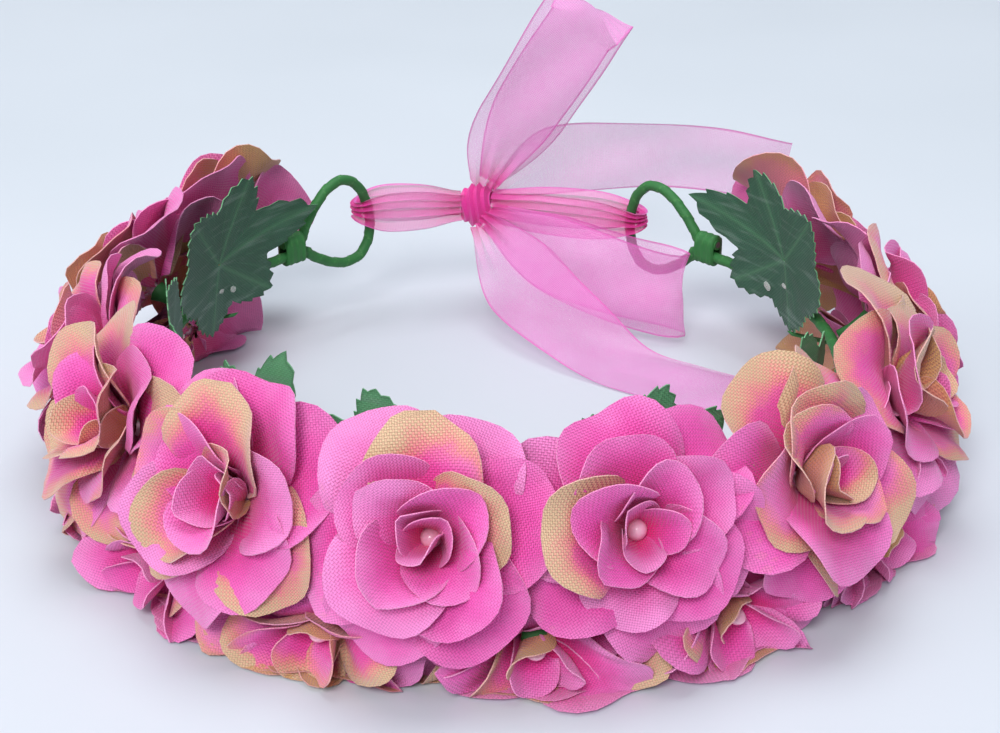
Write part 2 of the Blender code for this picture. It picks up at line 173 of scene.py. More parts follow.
# ---------------------------------------------------------------- finishes


def new_finish(name):
    material = bpy.data.materials.new(name)
    material.use_nodes = True
    return material, material.node_tree, material.node_tree.nodes["Principled BSDF"]


def plain_weave(tree, flat, pitch):
    """The height of a plain weave, 0 to 1, from flat cloth coordinates in metres: each thread is a
    rounded ridge that goes over and under the threads it crosses."""
    waves, ridges = [], []
    for place in add(tree, "ShaderNodeSeparateXYZ", {0: flat}, output=None).outputs[:2]:
        waves.append(add(tree, "ShaderNodeMath",
                         {0: add(tree, "ShaderNodeMath", {0: place, 1: math.pi / pitch}, operation="MULTIPLY")},
                         operation="SINE"))
        ridges.append(add(tree, "ShaderNodeMath",
                          {0: add(tree, "ShaderNodeMath", {0: waves[-1]}, operation="ABSOLUTE"), 1: 0.8},
                          operation="POWER"))
    over = add(tree, "ShaderNodeMath",
               {0: add(tree, "ShaderNodeMath", {0: waves[0], 1: waves[1]}, operation="MULTIPLY"), 1: 0.0},
               operation="GREATER_THAN")
    shape = add(tree, "ShaderNodeMix", {"Factor": over, "A": ridges[0], "B": ridges[1]})
    return shape, over


def petal_finish(sizes):
    """Stiffened polyester satin-weave cloth, dyed pink, with some petal edges dipped in tan dye. The threads catch
    light one by one, with painted light on their crowns and painted shade in their gaps; cut edges are pale and
    frayed; painted shade turns each petal deep magenta towards its foot and painted light makes its outer reach
    paler."""
    material, tree, shader = new_finish("dyed_polyester_petal_cloth")
    flat = add(tree, "ShaderNodeUVMap", uv_map="cloth")
    # Real threads are about 0.3 mm apart; they are drawn at the thread spacing, so that the grain shows.
    weave, over = plain_weave(tree, flat, sizes.thread_pitch)
    layers = ("reach", "across", "dye", "tone", "slant", "back", "cut")
    reach, across, dye, tone, slant, back, cut = (add(tree, "ShaderNodeAttribute", output="Fac",
                                                      attribute_name=layer) for layer in layers)
    cloud = add(tree, "ShaderNodeTexNoise", {"Vector": flat, "Scale": 130.0, "Detail": 3.0, "Roughness": 0.55})
    cloud = add(tree, "ShaderNodeMath", {0: cloud, 1: 0.5}, operation="SUBTRACT")
    # Painted shade: deep, saturated pink near each petal's foot, easing out to the petal pink. Painted highlight:
    # paler pink over the outer reach.
    outwards = add(tree, "ShaderNodeMath",
                   {0: reach, 1: add(tree, "ShaderNodeMath", {0: cloud, 1: 0.5}, operation="MULTIPLY")},
                   operation="ADD")
    throat = add(tree, "ShaderNodeMapRange", {"Value": outwards, 1: 0.14, 2: 0.76}, interpolation_type="SMOOTHSTEP")
    pink = add(tree, "ShaderNodeMix", {"Factor": throat, 6: (*sizes.throat_shade_pink, 1.0), 7: (*sizes.petal_pink, 1.0)},
               output=2, data_type="RGBA")
    # Painted highlight: the outer reach of each petal goes paler, more on some petals than on others.
    pale = add(tree, "ShaderNodeMapRange",
               {"Value": add(tree, "ShaderNodeMath",
                             {0: outwards,
                              1: add(tree, "ShaderNodeMath", {0: tone, 1: 0.35}, operation="MULTIPLY")},
                             operation="ADD"), 1: 0.72, 2: 1.32, 3: 0.0, 4: 0.72}, interpolation_type="SMOOTHSTEP")
    pink = add(tree, "ShaderNodeMix", {"Factor": pale, 6: pink, 7: (*sizes.edge_highlight_pink, 1.0)}, output=2,
               data_type="RGBA")
    # Dip dye: it starts at the rim, leans to one side and bleeds inwards along the threads.
    sideways = add(tree, "ShaderNodeMath",
                   {0: add(tree, "ShaderNodeMath", {0: across, 1: slant}, operation="MULTIPLY"), 1: 0.55},
                   operation="MULTIPLY")
    dipped = add(tree, "ShaderNodeMath",
                 {0: add(tree, "ShaderNodeMath", {0: outwards, 1: sideways}, operation="ADD"),
                  1: add(tree, "ShaderNodeMath", {0: dye, 1: 0.62}, operation="MULTIPLY")}, operation="ADD")
    dipped = add(tree, "ShaderNodeMapRange", {"Value": dipped, 1: 1.02, 2: 1.62}, interpolation_type="SMOOTHSTEP")
    bitten = add(tree, "ShaderNodeMath",
                 {0: dipped, 1: add(tree, "ShaderNodeMapRange", {"Value": dye, 1: 0.15, 2: 0.45},
                                    interpolation_type="SMOOTHSTEP")}, operation="MULTIPLY")
    threads = add(tree, "ShaderNodeMath",
                  {0: bitten, 1: add(tree, "ShaderNodeMath", {0: over, 1: 0.22, 2: 0.78},
                                     operation="MULTIPLY_ADD")}, operation="MULTIPLY")
    tan = add(tree, "ShaderNodeMix", {"Factor": add(tree, "ShaderNodeMath", {0: 0.5, 1: cloud}, operation="ADD"),
                                      6: (*sizes.dip_tan, 1.0), 7: (*sizes.dip_olive, 1.0)}, output=2,
              data_type="RGBA")
    mid = add(tree, "ShaderNodeMix",
              {"Factor": add(tree, "ShaderNodeMapRange", {"Value": threads, 1: 0.0, 2: 0.55},
                             interpolation_type="SMOOTHSTEP"), 6: pink, 7: to_linear("EC8088")}, output=2,
              data_type="RGBA")
    colour = add(tree, "ShaderNodeMix",
                 {"Factor": add(tree, "ShaderNodeMapRange", {"Value": threads, 1: 0.25, 2: 0.95},
                                interpolation_type="SMOOTHSTEP"), 6: mid, 7: tan}, output=2, data_type="RGBA")
    behind = add(tree, "ShaderNodeMath",
                 {0: back, 1: add(tree, "ShaderNodeMapRange", {"Value": dye, 1: 0.35, 2: 0.75, 3: 0.1, 4: 0.8},
                                  interpolation_type="SMOOTHSTEP")}, operation="MULTIPLY")
    colour = add(tree, "ShaderNodeMix", {"Factor": behind, 6: colour, 7: to_linear("CFA365")}, output=2,
                 data_type="RGBA")
    # Painted shade in the thread gaps and painted light on the thread crowns: the colour is darkened between the
    # threads and lightened on their tops.
    gaps = add(tree, "ShaderNodeMapRange", {"Value": weave, 1: 0.0, 2: 0.85, 3: 0.72, 4: 1.1},
               interpolation_type="SMOOTHSTEP")
    colour = add(tree, "ShaderNodeMix",
                 {"Factor": 1.0, 6: colour, 7: add(tree, "ShaderNodeCombineColor", {0: gaps, 1: gaps, 2: gaps})},
                 output=2, data_type="RGBA", blend_type="MULTIPLY")
    colour = add(tree, "ShaderNodeMix",
                 {"Factor": add(tree, "ShaderNodeMath", {0: cut, 1: 0.35}, operation="MULTIPLY"), 6: colour,
                  7: to_linear("F7BBD9")}, output=2, data_type="RGBA")
    rough = add(tree, "ShaderNodeMath",
                {0: add(tree, "ShaderNodeMapRange", {"Value": weave, 1: 0.0, 2: 1.0, 3: 0.66, 4: 0.44},
                        interpolation_type="SMOOTHSTEP"),
                 1: add(tree, "ShaderNodeMath", {0: cut, 1: 0.25}, operation="MULTIPLY")}, operation="ADD")
    bump = add(tree, "ShaderNodeBump", {"Strength": 0.8, "Distance": 0.00016, "Height": weave})
    crumple = add(tree, "ShaderNodeTexNoise", {"Vector": flat, "Scale": 320.0, "Detail": 2.0})
    fine = add(tree, "ShaderNodeBump", {"Strength": 0.25, "Distance": 0.0004, "Height": crumple, "Normal": bump})
    feed(shader, {"Base Color": colour, "Roughness": rough, "Normal": fine, "Sheen Weight": 0.4,
                  "Sheen Roughness": 0.45, "Sheen Tint": to_linear("FFD9F2"), "Specular IOR Level": 0.35})
    return material


def bead_finish():
    """Moulded polyethylene bead under a blob of clear glue: pale pink, waxy and wet looking."""
    material, tree, shader = new_finish("moulded_polyethylene_bead")
    place = add(tree, "ShaderNodeTexCoord", output="Object")
    cloud = add(tree, "ShaderNodeTexNoise", {"Vector": place, "Scale": 420.0, "Detail": 2.0})
    colour = add(tree, "ShaderNodeMix", {"Factor": cloud, 6: to_linear("F3A9CC"), 7: to_linear("FADBE6")}, output=2,
                 data_type="RGBA")
    rough = add(tree, "ShaderNodeMapRange", {"Value": cloud, 1: 0.3, 2: 0.7, 3: 0.16, 4: 0.42},
                interpolation_type="SMOOTHSTEP")
    bump = add(tree, "ShaderNodeBump", {"Strength": 0.4, "Distance": 0.0004, "Height": cloud})
    feed(shader, {"Base Color": colour, "Roughness": rough, "Normal": bump, "Coat Weight": 0.5,
                  "Coat Roughness": 0.12})
    return material


def leaf_finish(sizes):
    """Stiffened polyester leaf cloth, printed green, with pressed veins. The outer face carries painted light, a
    clear mid green, and the inner face painted shade, a dull dark green, both with the weave showing and painted
    shade in its gaps."""
    material, tree, shader = new_finish("printed_polyester_leaf_cloth")
    flat = add(tree, "ShaderNodeUVMap", uv_map="cloth")
    weave, _ = plain_weave(tree, flat, sizes.thread_pitch)
    layers = ("back", "cut", "vein", "reach")
    back, cut, vein, reach = (add(tree, "ShaderNodeAttribute", output="Fac", attribute_name=layer)
                              for layer in layers)
    cloud = add(tree, "ShaderNodeTexNoise", {"Vector": flat, "Scale": 90.0, "Detail": 4.0})
    # Painted light and painted shade: the outer face, which meets the light, is a clear mid green, and the inner face
    # is a shaded dull dark green.
    bright = add(tree, "ShaderNodeMix", {"Factor": cloud, 6: to_linear("4C9A66"), 7: (*sizes.leaf_lit_green, 1.0)},
                 output=2, data_type="RGBA")
    dark = add(tree, "ShaderNodeMix", {"Factor": cloud, 6: to_linear("234F35"), 7: (*sizes.leaf_shaded_green, 1.0)},
               output=2, data_type="RGBA")
    colour = add(tree, "ShaderNodeMix", {"Factor": back, 6: dark, 7: bright}, output=2, data_type="RGBA")
    colour = add(tree, "ShaderNodeMix",
                 {"Factor": add(tree, "ShaderNodeMath", {0: vein, 1: 0.22}, operation="MULTIPLY"), 6: colour,
                  7: to_linear("6DB27A")}, output=2, data_type="RGBA")
    colour = add(tree, "ShaderNodeMix",
                 {"Factor": add(tree, "ShaderNodeMapRange", {"Value": reach, 1: 0.93, 2: 1.0, 3: 0.0, 4: 0.35},
                                interpolation_type="SMOOTHSTEP"), 6: colour, 7: to_linear("1F4A2E")}, output=2,
                 data_type="RGBA")
    # Painted shade in the thread gaps and painted light on the thread crowns.
    gaps = add(tree, "ShaderNodeMapRange", {"Value": weave, 1: 0.0, 2: 0.8, 3: 0.74, 4: 1.08},
               interpolation_type="SMOOTHSTEP")
    colour = add(tree, "ShaderNodeMix",
                 {"Factor": 1.0, 6: colour, 7: add(tree, "ShaderNodeCombineColor", {0: gaps, 1: gaps, 2: gaps})},
                 output=2, data_type="RGBA", blend_type="MULTIPLY")
    colour = add(tree, "ShaderNodeMix",
                 {"Factor": add(tree, "ShaderNodeMath", {0: cut, 1: 0.6}, operation="MULTIPLY"), 6: colour,
                  7: to_linear("7DBF8B")}, output=2, data_type="RGBA")
    # The stiffener dried in streaks, glossier than the cloth between them.
    long = add(tree, "ShaderNodeVectorMath", {0: flat, 1: (60.0, 420.0, 1.0)}, operation="MULTIPLY")
    streak = add(tree, "ShaderNodeMapRange",
                 {"Value": add(tree, "ShaderNodeTexNoise", {"Vector": long, "Scale": 1.0, "Detail": 2.0}), 1: 0.52,
                  2: 0.72}, interpolation_type="SMOOTHSTEP")
    colour = add(tree, "ShaderNodeMix",
                 {"Factor": add(tree, "ShaderNodeMath", {0: streak, 1: 0.3}, operation="MULTIPLY"), 6: colour,
                  7: to_linear("7E9C8D")}, output=2, data_type="RGBA")
    rough = add(tree, "ShaderNodeMath",
                {0: streak, 1: -0.2,
                 2: add(tree, "ShaderNodeMapRange", {"Value": weave, 1: 0.0, 2: 1.0, 3: 0.64, 4: 0.46},
                        interpolation_type="SMOOTHSTEP")}, operation="MULTIPLY_ADD")
    raised = add(tree, "ShaderNodeMath", {0: vein, 1: 1.5, 2: weave}, operation="MULTIPLY_ADD")
    bump = add(tree, "ShaderNodeBump", {"Strength": 0.6, "Distance": 0.00014, "Height": raised})
    feed(shader, {"Base Color": colour, "Roughness": rough, "Normal": bump, "Specular IOR Level": 0.45})
    return material


def tape_finish():
    """Waxed crepe-paper florist's tape, stretched and wound: matt green, finely wrinkled across its
    width, a little paler on the overlap's edge where the wax is rubbed."""
    material, tree, shader = new_finish("waxed_crepe_floral_tape")
    layers = ("run", "round", "lap")
    run, turn, lap = (add(tree, "ShaderNodeAttribute", output="Fac", attribute_name=layer) for layer in layers)
    place = add(tree, "ShaderNodeCombineXYZ",
                {0: add(tree, "ShaderNodeMath", {0: run, 1: 2600.0}, operation="MULTIPLY"),
                 1: add(tree, "ShaderNodeMath", {0: turn, 1: 9.0}, operation="MULTIPLY"), 2: 0.0})
    crepe = add(tree, "ShaderNodeTexNoise", {"Vector": place, "Scale": 1.0, "Detail": 3.0})
    spot = add(tree, "ShaderNodeTexNoise", {"Vector": add(tree, "ShaderNodeTexCoord", output="Object"),
                                            "Scale": 300.0})
    colour = add(tree, "ShaderNodeMix", {"Factor": crepe, 6: to_linear("1E6A30"), 7: to_linear("37803F")}, output=2,
                 data_type="RGBA")
    colour = add(tree, "ShaderNodeMix",
                 {"Factor": add(tree, "ShaderNodeMapRange", {"Value": spot, 1: 0.4, 2: 0.8, 3: 0.0, 4: 0.5},
                                interpolation_type="SMOOTHSTEP"), 6: colour, 7: to_linear("22632F")}, output=2,
                 data_type="RGBA")
    colour = add(tree, "ShaderNodeMix",
                 {"Factor": add(tree, "ShaderNodeMapRange", {"Value": lap, 1: 0.8, 2: 1.0, 3: 0.0, 4: 0.55},
                                interpolation_type="SMOOTHSTEP"), 6: colour, 7: to_linear("5A9E50")}, output=2,
                 data_type="RGBA")
    rough = add(tree, "ShaderNodeMapRange", {"Value": crepe, 1: 0.2, 2: 0.8, 3: 0.5, 4: 0.72},
                interpolation_type="SMOOTHSTEP")
    bump = add(tree, "ShaderNodeBump", {"Strength": 0.5, "Distance": 0.0002, "Height": crepe})
    feed(shader, {"Base Color": colour, "Roughness": rough, "Normal": bump})
    return material


def wire_finish():
    """Drawn and annealed steel wire: dull grey with a rust bloom."""
    material, tree, shader = new_finish("annealed_steel_wire")
    place = add(tree, "ShaderNodeTexCoord", output="Object")
    bloom = add(tree, "ShaderNodeTexNoise", {"Vector": place, "Scale": 500.0, "Detail": 4.0})
    colour = add(tree, "ShaderNodeMix",
                 {"Factor": add(tree, "ShaderNodeMapRange", {"Value": bloom, 1: 0.55, 2: 0.8},
                                interpolation_type="SMOOTHSTEP"), 6: to_linear("7E8286"), 7: to_linear("6B4B38")},
                 output=2, data_type="RGBA")
    rough = add(tree, "ShaderNodeMapRange", {"Value": bloom, 1: 0.3, 2: 0.8, 3: 0.35, 4: 0.7},
                interpolation_type="SMOOTHSTEP")
    feed(shader, {"Base Color": colour, "Roughness": rough, "Metallic": 1.0})
    return material


def glue_finish():
    """Hot-melt glue: milky, glossy and wet looking, set in blobs and drawn threads."""
    material, tree, shader = new_finish("hot_melt_glue")
    place = add(tree, "ShaderNodeTexCoord", output="Object")
    cloud = add(tree, "ShaderNodeTexNoise", {"Vector": place, "Scale": 260.0, "Detail": 2.0})
    colour = add(tree, "ShaderNodeMix", {"Factor": cloud, 6: to_linear("C9D6C8"), 7: to_linear("F4F6F0")}, output=2,
                 data_type="RGBA")
    rough = add(tree, "ShaderNodeMapRange", {"Value": cloud, 1: 0.3, 2: 0.7, 3: 0.08, 4: 0.25},
                interpolation_type="SMOOTHSTEP")
    feed(shader, {"Base Color": colour, "Roughness": rough, "Alpha": 0.32, "Coat Weight": 0.4})
    return material


def ribbon_finish(sizes):
    """Woven nylon organza, sheer pink: a plain weave of fine stiff yarns with open gaps, so that what
    lies behind shows through, with a denser selvedge on each side and pin-point glints on the folds."""
    material, tree, shader = new_finish("sheer_nylon_organza")
    flat = add(tree, "ShaderNodeUVMap", uv_map="cloth")
    # Real organza yarns are about 0.15 mm apart; the grid is drawn coarser so that it shows.
    weave, _ = plain_weave(tree, flat, ORGANZA_PITCH)
    layers = ("across", "bunch")
    across, bunch = (add(tree, "ShaderNodeAttribute", output="Fac", attribute_name=layer) for layer in layers)
    edge = add(tree, "ShaderNodeMapRange", {"Value": add(tree, "ShaderNodeMath", {0: across}, operation="ABSOLUTE"),
                                            1: 0.945, 2: 0.965}, interpolation_type="SMOOTHSTEP")
    cloud = add(tree, "ShaderNodeTexNoise", {"Vector": flat, "Scale": 150.0, "Detail": 2.0})
    body = add(tree, "ShaderNodeMix", {"Factor": cloud, 6: (*sizes.organza_pink, 1.0), 7: to_linear("FF9CE6")},
               output=2, data_type="RGBA")
    colour = add(tree, "ShaderNodeMix",
                 {"Factor": add(tree, "ShaderNodeMapRange", {"Value": bunch, 1: 0.2, 2: 0.78},
                                interpolation_type="SMOOTHSTEP"), 6: body, 7: (*sizes.gather_pink, 1.0)}, output=2,
                 data_type="RGBA")
    colour = add(tree, "ShaderNodeMix", {"Factor": edge, 6: colour, 7: to_linear("E45FBC")}, output=2,
                 data_type="RGBA")
    cover = add(tree, "ShaderNodeMapRange", {"Value": weave, 1: 0.0, 2: 1.0, 3: sizes.organza_cover - 0.08,
                                             4: sizes.organza_cover + 0.1}, interpolation_type="SMOOTHSTEP")
    cover = add(tree, "ShaderNodeMath", {0: edge, 1: 0.32, 2: cover}, operation="MULTIPLY_ADD")
    cover = add(tree, "ShaderNodeMath",
                {0: add(tree, "ShaderNodeMapRange", {"Value": bunch, 1: 0.3, 2: 0.95},
                        interpolation_type="SMOOTHSTEP"), 1: 0.48, 2: cover}, operation="MULTIPLY_ADD",
                use_clamp=True)
    glint = add(tree, "ShaderNodeTexVoronoi", {"Vector": flat, "Scale": 1400.0}, output="Distance")
    rough = add(tree, "ShaderNodeMapRange", {"Value": glint, 1: 0.05, 2: 0.35, 3: 0.12, 4: 0.5},
                interpolation_type="SMOOTHSTEP")
    bump = add(tree, "ShaderNodeBump", {"Strength": 0.5, "Distance": 0.00015, "Height": weave})
    feed(shader, {"Base Color": colour, "Alpha": cover, "Roughness": rough, "Normal": bump,
                  "Specular IOR Level": 0.7, "Sheen Weight": 0.3, "Sheen Tint": to_linear("FFC8EE")})
    return material


def table_finish():
    """Matt laminate table top: cool white with the faintest cloudiness."""
    material, tree, shader = new_finish("matt_white_laminate")
    place = add(tree, "ShaderNodeTexCoord", output="Object")
    cloud = add(tree, "ShaderNodeTexNoise", {"Vector": place, "Scale": 6.0, "Detail": 3.0})
    colour = add(tree, "ShaderNodeMix", {"Factor": cloud, 6: to_linear("CDD5DC"), 7: to_linear("D3DAE1")}, output=2,
                 data_type="RGBA")
    rough = add(tree, "ShaderNodeMapRange", {"Value": cloud, 1: 0.3, 2: 0.7, 3: 0.55, 4: 0.7},
                interpolation_type="SMOOTHSTEP")
    feed(shader, {"Base Color": colour, "Roughness": rough})
    return material


FINISHES = {}


def finish_of(name):
    """Each finish is made once, when a piece first asks for it."""
    if name not in FINISHES:
        sizes = bpy.context.scene.crown_cloth
        makers = {
            "petal": lambda: petal_finish(sizes), "bead": bead_finish, "leaf": lambda: leaf_finish(sizes),
            "tape": tape_finish, "wire": wire_finish, "glue": glue_finish,
            "ribbon": lambda: ribbon_finish(sizes), "table": table_finish,
        }
        FINISHES[name] = makers[name]()
    return FINISHES[name]


# ---------------------------------------------------------------- cloth meshes


def grid_faces(rows, columns, start=0):
    """Quads of a grid of vertices listed row by row."""
    return [(start + r * columns + c, start + r * columns + c + 1,
             start + (r + 1) * columns + c + 1, start + (r + 1) * columns + c)
            for r in range(rows - 1) for c in range(columns - 1)]


def set_layer(mesh, name, domain, values):
    layer = mesh.attributes.new(name, "FLOAT", domain)
    layer.data.foreach_set("value", np.asarray(values, np.float32))


def sheet_mesh(name, points, flat, rows, columns, thickness, point_layers):
    """A mesh of a grid of points, with the flat cloth's coordinates in metres as its map. With a
    thickness it has two faces of cloth and a cut edge, and without one it is a single layer."""
    points = np.asarray(points, float).reshape(rows, columns, 3)
    flat = np.asarray(flat, float).reshape(-1, 2)
    down = np.gradient(points, axis=0)
    side = np.gradient(points, axis=1)
    normals = np.cross(side, down)
    normals /= np.maximum(np.linalg.norm(normals, axis=2, keepdims=True), 1e-12)
    top = (points + normals * thickness / 2).reshape(-1, 3)
    faces = grid_faces(rows, columns)
    backs, cuts = [0.0] * len(faces), [0.0] * len(faces)
    verts = [top]
    if thickness:
        count = rows * columns
        verts.append((points - normals * thickness / 2).reshape(-1, 3))
        below = [tuple(count + i for i in reversed(face)) for face in faces]
        rim = ([c for c in range(columns)] + [r * columns + columns - 1 for r in range(1, rows)]
               + [(rows - 1) * columns + c for c in range(columns - 2, -1, -1)]
               + [r * columns for r in range(rows - 2, -1, -1)])
        edges = [(b, a, a + count, b + count) for a, b in zip(rim, rim[1:])]
        faces = faces + below + edges
        backs += [1.0] * len(below) + [0.5] * len(edges)
        cuts += [0.0] * len(below) + [1.0] * len(edges)
    mesh = bpy.data.meshes.new(name)
    mesh.from_pydata(np.concatenate(verts).tolist(), [], faces)
    layer = mesh.uv_layers.new(name="cloth")
    loops = np.zeros(len(mesh.loops), np.int32)
    mesh.loops.foreach_get("vertex_index", loops)
    layer.data.foreach_set("uv", flat[loops % (rows * columns)].astype(np.float32).ravel())
    for key, values in point_layers.items():
        set_layer(mesh, key, "POINT", np.tile(np.asarray(values, float).ravel(), len(verts)))
    set_layer(mesh, "back", "FACE", backs)
    set_layer(mesh, "cut", "FACE", cuts)
    mesh.shade_smooth()
    mesh.set_sharp_from_angle(angle=math.radians(50))
    return mesh


def eased(value, low, high):
    t = np.clip((np.asarray(value, float) - low) / (high - low), 0, 1)
    return t * t * (3 - 2 * t)


def stamped_petal(name, length, width, rise, tip, cup, dice, thickness, curl=0.0, wave=0.0012, rays=23, rings=10):
    """One stamped petal, from its narrow foot at the origin out along +Y, faced up. Rise and tip are
    the slopes of its midline at the foot and at the end, in degrees, and cup is how far each side
    turns up round it. The dice give it its own wave, notch and crease."""
    spread = math.radians(66)
    a = np.linspace(-1, 1, rays)[None, :]
    b = np.linspace(0.05, 1, rings)[:, None] ** 0.85
    phase, second = dice.uniform(0, 6.28), dice.uniform(0, 6.28)
    angle = spread * a
    outline = np.cos(0.5 * math.pi * a * 0.975) ** 0.52
    notch = dice.choice((-0.06, -0.03, 0.0, 0.05, 0.10))
    outline = outline * (1 + 0.020 * np.sin(9 * angle + phase) + notch * np.exp(-(a / 0.18) ** 2))
    shade = dice.uniform(-0.06, 0.06)
    x = length * b * outline * np.sin(angle + shade * b) * width / (0.9 * length)
    y = length * b * outline * np.cos(angle)
    steps = np.linspace(0, length * 1.05, 60)
    slope = np.radians(rise + (tip - rise) * eased(steps / length, 0.15, 1.05))
    run = np.concatenate([[0], np.cumsum(np.cos(slope[:-1]) * np.diff(steps))])
    climb = np.concatenate([[0], np.cumsum(np.sin(slope[:-1]) * np.diff(steps))])
    along, up, lean = (np.interp(y, steps, v) for v in (run, climb, slope))
    bend = np.maximum(math.radians(cup), 1e-3) / (width / 2) * (1 - 0.35 * y / length)
    sideways = np.sin(bend * x) / bend
    height = (1 - np.cos(bend * x)) / bend
    height += dice.uniform(0.0002, 0.0006) * (1 - np.exp(-np.abs(x) / 0.0014))
    height += dice.uniform(-0.06, 0.24) * (np.sqrt(x * x + 1e-6) - 1e-3) * eased(b, 0.2, 0.9)
    crease = dice.uniform(-0.7, 0.7)
    height -= dice.uniform(0.0, 0.0011) * np.exp(-((a - crease) / 0.12) ** 2) * eased(b, 0.3, 0.9)
    edge = eased(b, 0.55, 1.0) + 0 * a
    height += wave * edge * np.sin(5.2 * a + phase) + 0.4 * wave * edge * np.sin(11 * a + second)
    height -= curl * eased(b, 0.72, 1.0) ** 2 * (0.6 + 0.4 * np.cos(2.2 * a + second))
    points = np.stack([sideways, along - height * np.sin(lean), up + height * np.cos(lean)], axis=2)
    flat = np.stack([x, y + 0 * a], axis=2)
    return sheet_mesh(name, points, flat, rings, rays, thickness, {"reach": b + 0 * a, "across": a + 0 * b})


def stamp_petals(dice, thickness):
    """The petal stamps of each whorl, as collections that the rose trees pick from."""
    kinds = {
        # name: (how many, length, width, rise, tip, cup, curl, wave)
        "outer": (9, 0.0278, 0.0252, (14, 28), (-44, -6), (8, 26), (0.0004, 0.0022), 0.0015),
        "middle": (9, 0.0238, 0.0222, (14, 30), (-28, 8), (18, 44), (0.0002, 0.0018), 0.0014),
        "inner": (8, 0.0200, 0.0184, (2, 16), (-28, 8), (36, 70), (0.0002, 0.0016), 0.0013),
        "bud": (6, 0.0150, 0.0132, (-2, 10), (-10, 14), (60, 100), (0.0, 0.0006), 0.0008),
    }
    made = {}
    for kind, (count, length, width, rise, tip, cup, curl, wave) in kinds.items():
        group = bpy.data.collections.new(f"{kind}_petal_stamps")
        bpy.context.scene.collection.children.link(group)
        for i in range(count):
            size = dice.uniform(0.95, 1.06)
            mesh = stamped_petal(f"{kind}_petal_{i}", length * size, width * size * dice.uniform(0.95, 1.05),
                                 dice.uniform(*rise), dice.uniform(*tip), dice.uniform(*cup), dice, thickness,
                                 dice.uniform(*curl), wave * dice.uniform(0.7, 1.4))
            group.objects.link(bpy.data.objects.new(mesh.name, mesh))
        made[kind] = group
    return made


def clear_stamps(groups):
    for group in groups.values():
        for obj in list(group.objects):
            mesh = obj.data
            bpy.data.objects.remove(obj)
            bpy.data.meshes.remove(mesh)
        bpy.data.collections.remove(group)


# ---------------------------------------------------------------- geometry trees


def tree_with(name, sockets):
    """A Geometry Nodes tree with these inputs, each a (name, socket type, default), and a geometry output."""
    tree = bpy.data.node_groups.new(name, "GeometryNodeTree")
    for label, kind, default in sockets:
        socket = tree.interface.new_socket(label, in_out="INPUT", socket_type=kind)
        if default is not None:
            socket.default_value = default
    tree.interface.new_socket("Geometry", in_out="OUTPUT", socket_type="NodeSocketGeometry")
    return tree, add(tree, "NodeGroupInput", output=None).outputs, add(tree, "NodeGroupOutput", output=None)


def end_tree(tree, geometry, finish, output):
    """Makes what a tree grew real, and gives it its finish."""
    real = add(tree, "GeometryNodeRealizeInstances", {"Geometry": geometry})
    done = add(tree, "GeometryNodeSetMaterial", {"Geometry": real, "Material": finish_of(finish)})
    tree.links.new(done, output.inputs[0])
    return tree


